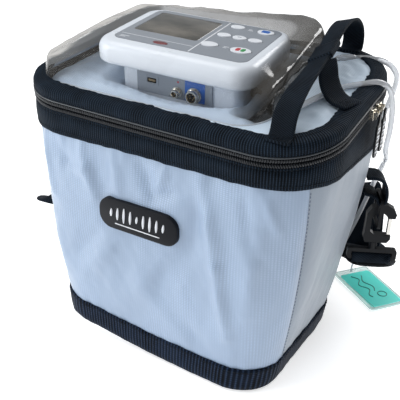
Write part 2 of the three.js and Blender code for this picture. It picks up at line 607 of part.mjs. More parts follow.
function addUnitInside() {
  add('battery_pack', plate({ left: -50, right: 56, front: -38, back: -2, corner: 4 }, -201, -131), 'cellBlue',
    unitFrame);

  const header = box(-48, 46, 12, 32, -201, -193);
  const columns = [[-34, 22, 15, -80], [-1, 22, 15, -80], [32, 22, 14, -100]].flatMap(([x, y, radius, top]) => {
    const height = top + 196;
    const barrel = cylinder(radius, height, x, y, -196 + height / 2, { sides: 20 });
    return [barrel, cylinder(radius / 2, 6, x, y, top + 2, { sides: 12 })];
  });
  add('sieve_columns', join(header, ...columns), 'aluminium', unitFrame);

  const motor = cylinder(17, 44, -29, -20, -107, { sides: 20 });
  const head = plate({ left: -47, right: -5, front: -38, back: -2, corner: 3 }, -86, -60, { curveSegments: 2 });
  const cylinderTwo = cylinder(9, 24, -3, -20, -73, { axis: 'x', sides: 14 });
  add('compressor', join(motor, head, cylinderTwo), 'aluminium', unitFrame);

  const manifold = box(-50, 22, 10, 36, -73, -60);
  const coils = [-38, -20, -2, 14].map((x) => cylinder(6, 12, x, 22, -55, { sides: 10 }));
  add('valve_manifold', join(manifold, ...coils), 'brass', unitFrame);

  const half = FAN.size / 2;
  const frameBox = box(FAN.x - FAN.depth / 2, FAN.x + FAN.depth / 2, FAN.y - half, FAN.y + half, FAN.z - half,
    FAN.z + half);
  const duct = cylinder(FAN.bore, FAN.depth + 2, FAN.x, FAN.y, FAN.z, { axis: 'x', sides: 24 });
  const hub = cylinder(7, 2, FAN.x - FAN.depth / 2 + 1, FAN.y, FAN.z, { axis: 'x', sides: 12 });
  const armX = FAN.x - FAN.depth / 2;
  const arms = [
    box(armX, armX + 2, FAN.y - 19, FAN.y + 19, FAN.z - 1.2, FAN.z + 1.2),
    box(armX, armX + 2, FAN.y - 1.2, FAN.y + 1.2, FAN.z - 19, FAN.z + 19),
  ];
  add('fan_housing', join(cut(frameBox, duct), hub, ...arms), 'blackPlastic', unitFrame);

  const rotorX = FAN.x + 1.6;
  const rotorHub = cylinder(7, 6, rotorX, FAN.y, FAN.z, { axis: 'x', sides: 14 });
  const blades = [];
  for (let i = 0; i < 7; i += 1) {
    const blade = new THREE.BoxGeometry(4.4, 1, 11.4);
    blade.rotateZ(THREE.MathUtils.degToRad(35)).translate(0, 0, 11.6).rotateX((2 * Math.PI * i) / 7);
    blades.push(blade.translate(rotorX, FAN.y, FAN.z));
  }
  add('fan_rotor', join(rotorHub, ...blades), 'blackPlastic', unitFrame);

  const board = box(-50, 56, -38, 40, -47.6, -46);
  const chips = [[-30, -10, 14], [5, 10, 18], [34, -16, 10], [36, 20, 12]].map(([x, y, size]) =>
    box(x - size / 2, x + size / 2, y - size / 2, y + size / 2, -46.2, -44));
  add('control_board', join(board, ...chips), 'circuitGreen', unitFrame);
}

// ---- Padding around the unit ---------------------------------------------------------------------------------------

function addPadding() {
  const collar = slab(lidOutline(-19), -22, 9);
  const hole = plate(shrunk(CASE, -2.5), -120, 20);
  const connectorRoom = box(-5, 28, -60, -40, -60, -20);
  const outletRoom = box(58, 78, OUTLET.y - 7, OUTLET.y + 7, OUTLET.z - 7, 0);
  unitFrame.updateMatrix();
  lidFrame.updateMatrix();
  const intoLid = lidFrame.matrix.clone().invert().multiply(unitFrame.matrix);
  const room = [hole, connectorRoom, outletRoom].map((geometry) => geometry.applyMatrix4(intoLid));
  add('top_pad', cut(collar, ...room), 'greyNylon', lidFrame);

  const cradle = flaredSlab(-WALL_THICKNESS - 3, 6, 110, 2);
  const pocket = plate(shrunk(CASE, -1.5), CASE.bottom - 4, -40).applyMatrix4(unitFrame.matrix);
  add('foam_cradle', cut(cradle, pocket), 'foam');
}

addBagBody();
addLid();
addHandles();
addZipSliders();
addZipPullers();
addStrapHardware();
addShoulderStrap();
addTag();
addOxygenTube();
addUnitTop();
addUnitCase();
addUnitInside();
addPadding();

export default model;
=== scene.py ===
import math

import bmesh
import bpy
import numpy as np
from mathutils import Matrix, Vector


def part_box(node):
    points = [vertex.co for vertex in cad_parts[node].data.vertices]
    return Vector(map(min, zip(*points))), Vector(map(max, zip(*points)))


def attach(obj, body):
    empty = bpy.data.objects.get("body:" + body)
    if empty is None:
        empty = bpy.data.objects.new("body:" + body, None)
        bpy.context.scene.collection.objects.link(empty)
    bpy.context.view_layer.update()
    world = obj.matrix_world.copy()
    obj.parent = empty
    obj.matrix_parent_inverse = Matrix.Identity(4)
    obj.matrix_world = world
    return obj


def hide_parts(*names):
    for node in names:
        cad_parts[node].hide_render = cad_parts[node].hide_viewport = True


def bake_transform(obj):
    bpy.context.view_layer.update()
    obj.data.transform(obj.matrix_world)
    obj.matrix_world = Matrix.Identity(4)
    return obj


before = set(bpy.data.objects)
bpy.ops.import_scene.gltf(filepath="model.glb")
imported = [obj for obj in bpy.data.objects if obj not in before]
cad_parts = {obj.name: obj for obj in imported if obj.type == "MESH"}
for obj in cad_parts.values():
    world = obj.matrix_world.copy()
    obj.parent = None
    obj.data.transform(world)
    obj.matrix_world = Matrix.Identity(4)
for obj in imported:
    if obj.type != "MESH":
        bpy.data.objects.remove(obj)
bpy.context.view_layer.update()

# Lengths in this file are millimetres until mesh() turns them into metres.
MM = 0.001

# The bag, as part.mjs has it.
FOOT = (233.0, 177.0, 38.0)
MOUTH = (300.0, 187.0, 56.0)
WALL_TOP = 213.0
BASE_BAND = 25.0
SLOPE = math.radians(7.5)
ZIP_FRONT = 239.0
LID_DEPTH = MOUTH[1] / math.cos(SLOPE)
LID_TOP = 15.0
HOOD = dict(left=-136.0, right=96.0, front=14.5, back=173.5, corner=30.0)
UNIT_PLACE = Vector((-7.0, -1.0, 297.0))
UNIT_TURN = Matrix(((0.99630, -0.06937, 0.05080), (0.07424, 0.99210, -0.10113), (-0.04338, 0.10453, 0.99357)))
STRAP_WIDTH = 38.0
HANDLE_WIDTH = 20.0
HEADING = math.radians(27)
HOOK_OUT = 17.5
HARDWARE = (141.0, 60.0, 106.0)


# ---- Camera --------------------------------------------------------------------------------------

def add_camera():
    azimuth, elevation, roll = (math.radians(a) for a in (30.89, 26.43, 1.72))
    back = Vector((math.sin(azimuth) * math.cos(elevation), -math.cos(azimuth) * math.cos(elevation),
            math.sin(elevation)))
    right = Vector((math.cos(azimuth), math.sin(azimuth), 0))
    up = back.cross(right)
    turned_right = right * math.cos(roll) + up * math.sin(roll)
    turned_up = up * math.cos(roll) - right * math.sin(roll)
    place = Vector((-0.0303, 0.04733, 0.10569)) + back * 0.74871
    data = bpy.data.cameras.new("camera")
    data.lens, data.sensor_width = 62.24, 36
    camera = bpy.data.objects.new("camera", data)
    camera.matrix_world = Matrix((
        (turned_right.x, turned_up.x, back.x, place.x),
        (turned_right.y, turned_up.y, back.y, place.y),
        (turned_right.z, turned_up.z, back.z, place.z),
        (0, 0, 0, 1)))
    bpy.context.scene.collection.objects.link(camera)
    bpy.context.scene.camera = camera


add_camera()


# ---- Materials -----------------------------------------------------------------------------------

class Look:
    """A procedural material under construction: call it to add a node, and get that node's first output."""

    def __init__(self, name, color, roughness, **sockets):
        self.material = bpy.data.materials.new(name)
        self.material.use_nodes = True
        self.tree = self.material.node_tree
        self.shader = self.tree.nodes["Principled BSDF"]
        self.shader.inputs["Base Color"].default_value = (*color, 1)
        self.shader.inputs["Roughness"].default_value = roughness
        for key, value in sockets.items():
            self.shader.inputs[key.replace("_", " ")].default_value = value
        self.material.diffuse_color = (*color, 1)

    def __call__(self, kind, *inputs, out=0, **props):
        node = self.tree.nodes.new("ShaderNode" + kind)
        for key, value in props.items():
            setattr(node, key, value)
        for index, value in enumerate(inputs):
            if value is None:
                continue
            if isinstance(value, bpy.types.NodeSocket):
                self.tree.links.new(value, node.inputs[index])
            else:
                node.inputs[index].default_value = value
        return node.outputs[out]

    def math(self, operation, *inputs):
        return self("Math", *inputs, operation=operation)

    def link(self, socket, name):
        self.tree.links.new(socket, self.shader.inputs[name])

    def noise(self, scale, detail=3.0, stretch=None, vector=None):
        where = vector or self("TexCoord", out=3)
        if stretch:
            where = self("VectorMath", where, stretch, operation="MULTIPLY")
        return self("TexNoise", where, None, scale, detail)

    def mix(self, factor, dark, light):
        ramp = self.tree.nodes.new("ShaderNodeValToRGB")
        ramp.color_ramp.elements[0].color = (*dark, 1)
        ramp.color_ramp.elements[1].color = (*light, 1)
        self.tree.links.new(factor, ramp.inputs[0])
        return ramp.outputs[0]

    def bump(self, height, distance_mm, strength=1.0):
        node = self.tree.nodes.new("ShaderNodeBump")
        node.inputs["Strength"].default_value = strength
        node.inputs["Distance"].default_value = distance_mm * MM
        self.tree.links.new(height, node.inputs["Height"])
        self.tree.links.new(node.outputs[0], self.shader.inputs["Normal"])

    def cloth(self):
        """The cloth coordinates written by mesh(): across and along the piece, in millimetres."""
        node = self.tree.nodes.new("ShaderNodeAttribute")
        node.attribute_name = "cloth"
        split = self.tree.nodes.new("ShaderNodeSeparateXYZ")
        self.tree.links.new(node.outputs["Vector"], split.inputs[0])
        return split.outputs[0], split.outputs[1]

    def blend_to(self, tone, color):
        """Blend a colour to another by the cloth attribute's third value; the pad uses it for painted shade."""
        node = self.tree.nodes.new("ShaderNodeAttribute")
        node.attribute_name = "cloth"
        split = self.tree.nodes.new("ShaderNodeSeparateXYZ")
        self.tree.links.new(node.outputs["Vector"], split.inputs[0])
        mix = self.tree.nodes.new("ShaderNodeMix")
        mix.data_type = "RGBA"
        self.tree.links.new(split.outputs[2], mix.inputs["Factor"])
        self.tree.links.new(tone, mix.inputs[6])
        mix.inputs[7].default_value = (*color, 1)
        return mix.outputs[2]

    def wave(self, coordinate, period):
        """A sine from 0 to 1 along a coordinate in millimetres."""
        turned = self.math("SINE", self.math("MULTIPLY", coordinate, 2 * math.pi / period))
        return self.math("MULTIPLY_ADD", turned, 0.5, 0.5)


def ripstop(name, color, roughness=0.4, period=2.7, strength=0.9, shimmer=0.55, shade_to=None):
    look = Look(name, color, roughness, Sheen_Weight=0.25, Sheen_Roughness=0.4, Specular_IOR_Level=0.6)
    across, along = look.cloth()
    one = look.wave(across, period)
    two = look.wave(look.math("MULTIPLY_ADD", one, 0.35, along), period * 0.66)
    diamond = look.math("MULTIPLY", one, two)
    soft = look.noise(9.0, 2.0)
    patches = look.math("MINIMUM", look.math("MAXIMUM",
            look.math("MULTIPLY_ADD", look.noise(13.0, 2.0, stretch=(1.6, 1.6, 0.7)), 5.0, -2.2), 0.15), 1.0)
    diamond = look.math("MULTIPLY", diamond, patches)
    height = look.math("MULTIPLY_ADD", look.noise(160.0), 0.5, diamond)
    shade = look.math("MULTIPLY_ADD", diamond, shimmer, look.math("MULTIPLY_ADD", soft, 0.5, 0.05))
    dark = tuple(c * 0.80 for c in color)
    light = tuple(min(1, c * 1.28 + 0.02) for c in color)
    tone = look.mix(shade, dark, light)
    # Painted shade: where the cloth attribute's third value is set, the colour goes to shade_to.
    if shade_to:
        tone = look.blend_to(tone, shade_to)
    look.link(tone, "Base Color")
    look.link(look.math("MULTIPLY_ADD", diamond, -0.12, roughness + 0.06), "Roughness")
    look.bump(height, 0.16, strength)
    return look.material


def ribbed(name, color, rib=1.5, depth=0.22, roughness=0.62, twill=False):
    """Webbing: ribs run across the strap, with a fine weave on them and painted highlights on the rib crests."""
    look = Look(name, color, roughness, Specular_IOR_Level=0.06)
    across, along = look.cloth()
    rib_height = look.wave(look.math("ADD", along, look.math("MULTIPLY", across, 0.55)) if twill else along,
            rib)
    weave = look.wave(across, rib * 0.7)
    height = look.math("MULTIPLY_ADD", weave, 0.35, rib_height)
    # Painted highlight: this value lifts the colour on the rib crests and weave crossings, and the noise adds random
    # tone.
    thread = look.math("MULTIPLY", look.math("POWER", rib_height, 3.0),
            look.math("MULTIPLY_ADD", weave, 0.5, 0.5))
    tone = look.math("MULTIPLY_ADD", thread, 0.8, look.math("MULTIPLY_ADD", look.noise(60.0), 0.5, -0.15))
    look.link(look.mix(tone, tuple(c * 0.3 for c in color), tuple(c * 6.0 for c in color)), "Base Color")
    look.link(look.math("MULTIPLY_ADD", rib_height, -0.15, roughness + 0.1), "Roughness")
    look.bump(height, depth, 0.9)
    return look.material


def moulded(name, color, roughness, grain=0.03, **sockets):
    look = Look(name, color, roughness, **sockets)
    fine = look.noise(900.0, 2.0)
    broad = look.noise(18.0, 3.0)
    look.link(look.mix(broad, tuple(c * 0.93 for c in color), tuple(min(1, c * 1.05) for c in color)),
            "Base Color")
    look.link(look.math("MULTIPLY_ADD", broad, 0.12, roughness - 0.06), "Roughness")
    look.bump(fine, grain, 0.6)
    return look.material


def metal(name, color, roughness, stretch=(1, 1, 12)):
    look = Look(name, color, roughness, Metallic=1.0)
    brushed = look.noise(300.0, 2.0, stretch=stretch)
    look.link(look.math("MULTIPLY_ADD", brushed, 0.2, roughness - 0.1), "Roughness")
    look.link(look.mix(look.noise(25.0), tuple(c * 0.82 for c in color), color), "Base Color")
    look.bump(brushed, 0.02, 0.4)
    return look.material


def vinyl_look():
    """Clear vinyl with painted reflection and painted shade. The cloth attribute's third value is how much of them the
    sheet carries there, and its first is x on the lid, which turns the painted colour from a pale painted reflection
    on the left to dark painted shade on the right.
    """
    look = Look("clear_vinyl", (0.30, 0.29, 0.27), 0.09, IOR=1.5, Coat_Weight=0.5, Coat_Roughness=0.05)
    node = look.tree.nodes.new("ShaderNodeAttribute")
    node.attribute_name = "cloth"
    split = look.tree.nodes.new("ShaderNodeSeparateXYZ")
    look.tree.links.new(node.outputs["Vector"], split.inputs[0])
    crease = look.noise(20.0, 2.0, stretch=(1.0, 1.6, 0.7))
    blotch_noise = look.noise(11.0, 3.0)
    painted_light_density = look.math("MULTIPLY", split.outputs[2], look.math("MULTIPLY_ADD", blotch_noise, 0.5, 0.75))
    look.link(look.math("MAXIMUM", look.math("MINIMUM", painted_light_density, 0.95), 0.05), "Alpha")
    # Painted colour: a pale painted reflection on the left of the lid, dark painted shade on the right, varied by
    # noise.
    darker = look.math("MULTIPLY_ADD", split.outputs[0], 0.0062, look.math("MULTIPLY_ADD", blotch_noise, 0.6, 0.34))
    look.link(look.mix(darker, (0.62, 0.60, 0.57), (0.05, 0.045, 0.038)), "Base Color")
    look.link(look.math("MULTIPLY_ADD", blotch_noise, 0.12, 0.05), "Roughness")
    look.bump(crease, 2.0, 0.5)
    return look.material


def foil_look():
    look = Look("foil_liner", (0.72, 0.74, 0.77), 0.32, Metallic=0.85)
    crinkle = look.noise(55.0, 8.0)
    look.link(look.mix(crinkle, (0.5, 0.52, 0.56), (0.85, 0.87, 0.9)), "Base Color")
    look.link(look.math("MULTIPLY_ADD", crinkle, 0.3, 0.2), "Roughness")
    look.bump(crinkle, 1.4, 0.8)
    return look.material


def foam_look(name, color):
    look = Look(name, color, 0.95)
    cells = look("TexVoronoi", look("TexCoord", out=3), None, 900.0)
    look.link(look.mix(look.noise(300.0), tuple(c * 0.6 for c in color), tuple(c * 1.3 for c in color)),
            "Base Color")
    look.link(look.math("MULTIPLY_ADD", cells, -0.1, 0.98), "Roughness")
    look.bump(cells, 0.4, 0.7)
    return look.material


def tube_look(name="clear_tube"):
    look = Look(name, (0.80, 0.83, 0.87), 0.16, Transmission_Weight=0.55, IOR=1.4, Coat_Weight=0.4)
    blotch_noise = look.noise(40.0, 3.0)
    look.link(look.mix(blotch_noise, (0.68, 0.71, 0.76), (0.88, 0.90, 0.93)), "Base Color")
    look.link(look.math("MULTIPLY_ADD", blotch_noise, 0.14, 0.1), "Roughness")
    look.bump(look.noise(500.0, 2.0), 0.03, 0.3)
    return look.material


def screen_look():
    look = Look("screen_glass", (0.035, 0.032, 0.03), 0.07, Coat_Weight=1.0, Coat_Roughness=0.02,
            Specular_IOR_Level=0.9)
    blot = look.noise(26.0, 4.0, stretch=(1.0, 1.7, 1.0))
    look.link(look.mix(look.math("MULTIPLY_ADD", blot, 2.6, -0.85), (0.006, 0.010, 0.008),
            (0.19, 0.172, 0.146)), "Base Color")
    look.link(look.math("MULTIPLY_ADD", blot, 0.1, 0.05), "Roughness")
    look.bump(blot, 0.05, 0.2)
    return look.material


SILVER = ripstop("silver_nylon", (0.31, 0.405, 0.55), 0.31, 2.7, 1.6, 1.0)
SILVER_SIDE = ripstop("silver_nylon_side", (0.275, 0.325, 0.39), 0.44, 2.2, 0.7, 0.3)
LID_NYLON = ripstop("lid_nylon", (0.55, 0.66, 0.79), 0.38, 2.0)
# The pad's nylon carries painted shade: near black where the pad's cloth attribute marks it.
PAD_NYLON = ripstop("pad_nylon", (0.50, 0.61, 0.75), 0.45, 1.8, shade_to=(0.012, 0.012, 0.013))
BLACK_BAND = ribbed("black_band", (0.0040, 0.0068, 0.0110), 2.3, 0.34)
BLACK_BASE = ribbed("black_base", (0.0045, 0.0080, 0.0160), 3.4, 0.3, roughness=0.5)
WEBBING = ribbed("black_webbing", (0.0040, 0.0062, 0.0095), 1.6, 0.3, twill=True)
PAD_BLACK = ribbed("pad_black", (0.0035, 0.0045, 0.006), 2.2, 0.25)
ZIP_TAPE = ribbed("zip_tape", (0.006, 0.007, 0.009), 0.9, 0.12)
COIL = moulded("zip_coil", (0.010, 0.012, 0.016), 0.3, 0.02, Specular_IOR_Level=0.45)
PIPING = moulded("piping", (0.035, 0.042, 0.05), 0.3, 0.02)
THREAD = moulded("thread_grey", (0.10, 0.13, 0.19), 0.7, 0.05)
THREAD_BLACK = moulded("thread_black", (0.009, 0.012, 0.017), 0.6, 0.05, Specular_IOR_Level=0.1)
WHITE = moulded("white_shell", (0.80, 0.85, 0.92), 0.28, 0.03, Coat_Weight=0.2)
GREY = moulded("grey_plate", (0.30, 0.335, 0.385), 0.38, 0.02)
FASCIA_GREY = moulded("grey_overlay", (0.27, 0.30, 0.345), 0.30, 0.02, Coat_Weight=0.35)
KEY_WHITE = moulded("key_white", (0.80, 0.83, 0.88), 0.42, 0.02)
MARK_WHITE = moulded("mark_white", (0.78, 0.80, 0.84), 0.4, 0.01)
RED = moulded("indicator_red", (0.16, 0.008, 0.014), 0.2, 0.01, Coat_Weight=0.6)
MARK_RED = moulded("mark_red", (0.55, 0.03, 0.04), 0.35, 0.01)
MARK_GREEN = moulded("mark_green", (0.03, 0.30, 0.08), 0.35, 0.01)
MARK_BLUE = moulded("mark_blue", (0.02, 0.13, 0.50), 0.35, 0.01)
BLACK_PLASTIC = moulded("black_plastic", (0.005, 0.006, 0.008), 0.3, 0.04, Specular_IOR_Level=0.16)
BADGE_BLACK = moulded("badge_black", (0.005, 0.006, 0.009), 0.42, 0.03, Specular_IOR_Level=0.15)
STEEL = metal("steel_wire", (0.72, 0.70, 0.66), 0.2)
NICKEL = metal("nickel", (0.72, 0.68, 0.60), 0.24)
GOLD_PIN = metal("socket_gold", (0.55, 0.40, 0.22), 0.35)
ALUMINIUM = metal("aluminium", (0.72, 0.73, 0.75), 0.38)
BRASS = metal("brass", (0.66, 0.50, 0.25), 0.34)
BOARD = moulded("circuit_board", (0.02, 0.16, 0.07), 0.4, 0.05)
CELLS = moulded("cell_wrap", (0.04, 0.12, 0.32), 0.4, 0.03)
FOAM = foam_look("foam_grey", (0.09, 0.095, 0.10))
VINYL = vinyl_look()
FOIL = foil_look()
TUBE = tube_look()
SCREEN = screen_look()
MINT = moulded("mint_card", (0.075, 0.92, 0.80), 0.4, 0.03, Coat_Weight=0.4)
MINT_DARK = moulded("mint_mark", (0.015, 0.27, 0.20), 0.4, 0.02)
BINDING = moulded("vinyl_edge", (0.50, 0.54, 0.60), 0.25, 0.02)
SLEEVE = Look("clear_sleeve", (0.62, 0.80, 0.78), 0.12, Alpha=0.45, IOR=1.5, Coat_Weight=0.5).material


# ---- Meshes --------------------------------------------------------------------------------------

def mesh(name, vertices, faces, material, cloth=None, smooth=True, angle=None):
    data = bpy.data.meshes.new(name)
    data.from_pydata([tuple(v) for v in np.asarray(vertices, float) * MM], [], [tuple(f) for f in faces])
    data.materials.append(material)
    if cloth is not None:
        layer = data.attributes.new("cloth", "FLOAT_VECTOR", "POINT")
        flat = np.zeros((len(data.vertices), 3), np.float32)
        given = np.asarray(cloth, np.float32).reshape(len(data.vertices), -1)
        flat[:, :given.shape[1]] = given
        layer.data.foreach_set("vector", flat.ravel())
    made = bmesh.new()
    made.from_mesh(data)
    bmesh.ops.recalc_face_normals(made, faces=made.faces)
    made.to_mesh(data)
    made.free()
    data.polygons.foreach_set("use_smooth", [smooth] * len(data.polygons))
    if angle:
        data.set_sharp_from_angle(angle=math.radians(angle))
    piece = bpy.data.objects.new(name, data)
    bpy.context.scene.collection.objects.link(piece)
    return piece


def grid_faces(rows, cols, wrap_rows=False, wrap_cols=False, start=0):
    faces = []
    for i in range(rows if wrap_rows else rows - 1):
        for j in range(cols if wrap_cols else cols - 1):
            a, b = i, (i + 1) % rows
            c, d = j, (j + 1) % cols
            faces.append((start + a * cols + c, start + a * cols + d, start + b * cols + d,
                    start + b * cols + c))
    return faces


def grid(name, points, material, cloth=None, wrap_rows=False, wrap_cols=False, caps=False, angle=None,
        smooth=True):
    """A surface through points[row, column]. caps closes the first and last row with one face each."""
    points = np.asarray(points, float)
    rows, cols = points.shape[:2]
    faces = grid_faces(rows, cols, wrap_rows, wrap_cols)
    if caps:
        faces += [tuple(range(cols))[::-1], tuple(range((rows - 1) * cols, rows * cols))]
    return mesh(name, points.reshape(-1, 3), faces, material, cloth, smooth, angle)


def joined(name, parts, material, cloth=False, angle=None, smooth=True):
    """One mesh from several (vertices, faces) or (vertices, faces, cloth) parts."""
    vertices, faces, cloths, start = [], [], [], 0
    for part in parts:
        vertices.append(np.asarray(part[0], float).reshape(-1, 3))
        faces += [tuple(i + start for i in f) for f in part[1]]
        if cloth:
            cloths.append(np.asarray(part[2], float).reshape(-1, 2))
        start += len(vertices[-1])
    return mesh(name, np.vstack(vertices), faces, material, np.vstack(cloths) if cloth else None, smooth,
            angle)


def outline(width, depth, corner, straight=(64, 40), arc=12):
    """Points and outward normals round a rounded rectangle, anticlockwise from the middle of its back, with the
    distance travelled. The same number of points for every size, and the first point is repeated at the end."""
    half_x, half_y = width / 2 - corner, depth / 2 - corner
    points, normals = [], []

    def side(a, b, normal, count):
        for k in range(count):
            f = k / count
            points.append((a[0] + (b[0] - a[0]) * f, a[1] + (b[1] - a[1]) * f))
            normals.append(normal)

    def bend(cx, cy, start):
        for k in range(arc):
            angle = math.radians(start + 90 * k / arc)
            normals.append((math.cos(angle), math.sin(angle)))
            points.append((cx + corner * math.cos(angle), cy + corner * math.sin(angle)))

    wide, deep = straight
    side((0, depth / 2), (-half_x, depth / 2), (0, 1), wide // 2)
    bend(-half_x, half_y, 90)
    side((-width / 2, half_y), (-width / 2, -half_y), (-1, 0), deep)
    bend(-half_x, -half_y, 180)
    side((-half_x, -depth / 2), (half_x, -depth / 2), (0, -1), wide)
    bend(half_x, -half_y, 270)
    side((width / 2, -half_y), (width / 2, half_y), (1, 0), deep)
    bend(half_x, half_y, 0)
    side((half_x, depth / 2), (0, depth / 2), (0, 1), wide // 2)
    points.append(points[0])
    normals.append(normals[0])
    points, normals = np.array(points), np.array(normals)
    travelled = np.concatenate([[0], np.cumsum(np.hypot(*np.diff(points, axis=0).T))])
    return points, normals, travelled


def curve(points, count):
    """count points evenly spaced along a smooth curve through the given ones."""
    p = np.asarray(points, float)
    p = np.vstack([2 * p[0] - p[1], p, 2 * p[-1] - p[-2]])
    dense = []
    for i in range(1, len(p) - 2):
        t = [0.0]
        for a, b in zip(p[i - 1:i + 2], p[i:i + 3]):
            t.append(t[-1] + max(1e-6, np.linalg.norm(b - a)) ** 0.5)
        for u in np.linspace(t[1], t[2], 24, endpoint=False):
            a1 = (t[1] - u) / (t[1] - t[0]) * p[i - 1] + (u - t[0]) / (t[1] - t[0]) * p[i]
            a2 = (t[2] - u) / (t[2] - t[1]) * p[i] + (u - t[1]) / (t[2] - t[1]) * p[i + 1]
            a3 = (t[3] - u) / (t[3] - t[2]) * p[i + 1] + (u - t[2]) / (t[3] - t[2]) * p[i + 2]
            b1 = (t[2] - u) / (t[2] - t[0]) * a1 + (u - t[0]) / (t[2] - t[0]) * a2
            b2 = (t[3] - u) / (t[3] - t[1]) * a2 + (u - t[1]) / (t[3] - t[1]) * a3
            dense.append((t[2] - u) / (t[2] - t[1]) * b1 + (u - t[1]) / (t[2] - t[1]) * b2)
    dense.append(p[-2])
    return even(np.array(dense), count)


def even(path, count):
    travelled = np.concatenate([[0], np.cumsum(np.linalg.norm(np.diff(path, axis=0), axis=1))])
    at = np.linspace(0, travelled[-1], count)
    return np.stack([np.interp(at, travelled, path[:, k]) for k in range(3)], 1)


def length_of(path):
    return float(np.linalg.norm(np.diff(path, axis=0), axis=1).sum())


def tangents(path):
    return unit(np.gradient(path, axis=0))


def unit(v):
    v = np.asarray(v, float)
    return v / np.maximum(1e-9, np.linalg.norm(v, axis=-1, keepdims=True))


def tube_rings(path, radius, sides=12):
    """Circles round a path, carried along it without twist."""
    path = np.asarray(path, float)
    along = tangents(path)
    radius = np.broadcast_to(radius, len(path))
    side = unit(np.cross(along[0], (0.31, 0.2, 0.93)))
    rings = []
    for point, tangent, size in zip(path, along, radius):
        side = unit(side - tangent * side.dot(tangent))
        other = np.cross(tangent, side)
        angles = 2 * np.pi * np.arange(sides) / sides
        rings.append(point + size * (np.cos(angles)[:, None] * side + np.sin(angles)[:, None] * other))
    return np.array(rings)


def tube_part(path, radius, sides=12):
    rings = tube_rings(path, radius, sides)
    count = len(rings)
    faces = grid_faces(count, sides, wrap_cols=True)
    faces += [tuple(range(sides))[::-1], tuple(range((count - 1) * sides, count * sides))]
    return rings.reshape(-1, 3), faces


def tube(name, path, radius, material, sides=12):
    return joined(name, [tube_part(path, radius, sides)], material)


def ribbon_part(path, width, thickness, across, crown=0.0):
    """Webbing: a flat strap with rounded edges along a path. across is one direction, or one for each point."""
    path = np.asarray(path, float)
    along = tangents(path)
    across = np.broadcast_to(np.asarray(across, float), path.shape)
    side = unit(across - along * np.sum(across * along, 1, keepdims=True))
    normal = np.cross(along, side)
    half, edge = width / 2, thickness / 2
    steps = np.linspace(-1, 1, 9)
    upper = [(x * (half - edge * 0.4), edge + crown * (1 - x * x)) for x in steps]
    lower = [(x * (half - edge * 0.4), -edge + crown * (1 - x * x)) for x in steps[::-1]]
    section = [*upper, (half, 0.0), *lower, (-half, 0.0)]
    travelled = np.concatenate([[0], np.cumsum(np.linalg.norm(np.diff(path, axis=0), axis=1))])
    points = np.stack([path + side * x + normal * y for x, y in section], 1)
    cloth = np.stack([np.stack([np.full(len(path), x), travelled], 1) for x, _ in section], 1)
    rows, cols = points.shape[:2]
    faces = grid_faces(rows, cols, wrap_cols=True)
    faces += [tuple(range(cols))[::-1], tuple(range((rows - 1) * cols, rows * cols))]
    return points.reshape(-1, 3), faces, cloth.reshape(-1, 2)


def ribbon(name, path, width, across, material=None, thickness=1.8, crown=0.0):
    return joined(name, [ribbon_part(path, width, thickness, across, crown)], material or WEBBING, cloth=True)


def lathe_part(profile, place, axis, sides=28):
    """A turned shape: profile is (radius, height along axis), closed at both ends on the axis."""
    axis = unit(axis)
    side = unit(np.cross(axis, (0.12, 0.35, 0.93) if abs(axis[2]) < 0.8 else (1, 0.1, 0)))
    other = np.cross(axis, side)
    angles = 2 * np.pi * np.arange(sides) / sides
    circle = np.cos(angles)[:, None] * side + np.sin(angles)[:, None] * other
    rings = np.array([np.asarray(place) + axis * h + circle * r for r, h in profile])
    faces = grid_faces(len(profile), sides, wrap_cols=True)
    faces += [tuple(range(sides))[::-1], tuple(range((len(profile) - 1) * sides, len(profile) * sides))]
    return rings.reshape(-1, 3), faces


def rounded(left, right, front, back, corner, arc=10):
    points = []
    for cx, cy, start in ((right - corner, front + corner, 270), (right - corner, back - corner, 0),
                          (left + corner, back - corner, 90), (left + corner, front + corner, 180)):
        for k in range(arc + 1):
            angle = math.radians(start + 90 * k / arc)
            points.append((cx + corner * math.cos(angle), cy + corner * math.sin(angle)))
    return np.array(points)


def oval(x, y, radius_x, radius_y, count=32):
    angles = 2 * np.pi * np.arange(count) / count
    return np.stack([x + radius_x * np.cos(angles), y + radius_y * np.sin(angles)], 1)


def inset(shape, amount):
    """A convex outline moved inwards by about that much."""
    shape = np.asarray(shape, float)
    centre = (shape.min(0) + shape.max(0)) / 2
    half = (shape.max(0) - shape.min(0)) / 2
    return centre + (shape - centre) * np.maximum(0.02, (half - amount) / half)


def puck_part(shape, levels, place=None):
    """A closed plate with shaped edges: levels are (inset, height) from the bottom up; place maps points to world."""
    rings = []
    for amount, height in levels:
        ring = inset(shape, amount)
        rings.append(np.column_stack([ring, np.full(len(ring), height)]))
    points = np.vstack(rings)
    if place:
        points = place(points)
    count, size = len(levels), len(shape)
    faces = grid_faces(count, size, wrap_cols=True)
    faces += [tuple(range(size))[::-1], tuple(range((count - 1) * size, count * size))]
    return points, faces


def soft_levels(bottom, top, edge, bottom_edge=0.0, steps=4):
    """Levels for puck_part with a rounded top rim, and a rounded bottom rim if asked."""
    levels = []
    if bottom_edge:
        levels += [(bottom_edge * (1 - math.sin(a)), bottom + bottom_edge * (1 - math.cos(a)))
                   for a in np.linspace(0, math.pi / 2, steps + 1)]
    else:
        levels.append((0, bottom))
    levels += [(edge * (1 - math.cos(a)), top - edge * (1 - math.sin(a))) for a in np.linspace(0,
            math.pi / 2, steps + 1)]
    return levels


def to_unit(points):
    points = np.asarray(points, float)
    return points @ np.array(UNIT_TURN).T + np.array(UNIT_PLACE)


def puck(name, shape, levels, material, place=to_unit, angle=40):
    return joined(name, [puck_part(shape, levels, place)], material, angle=angle)


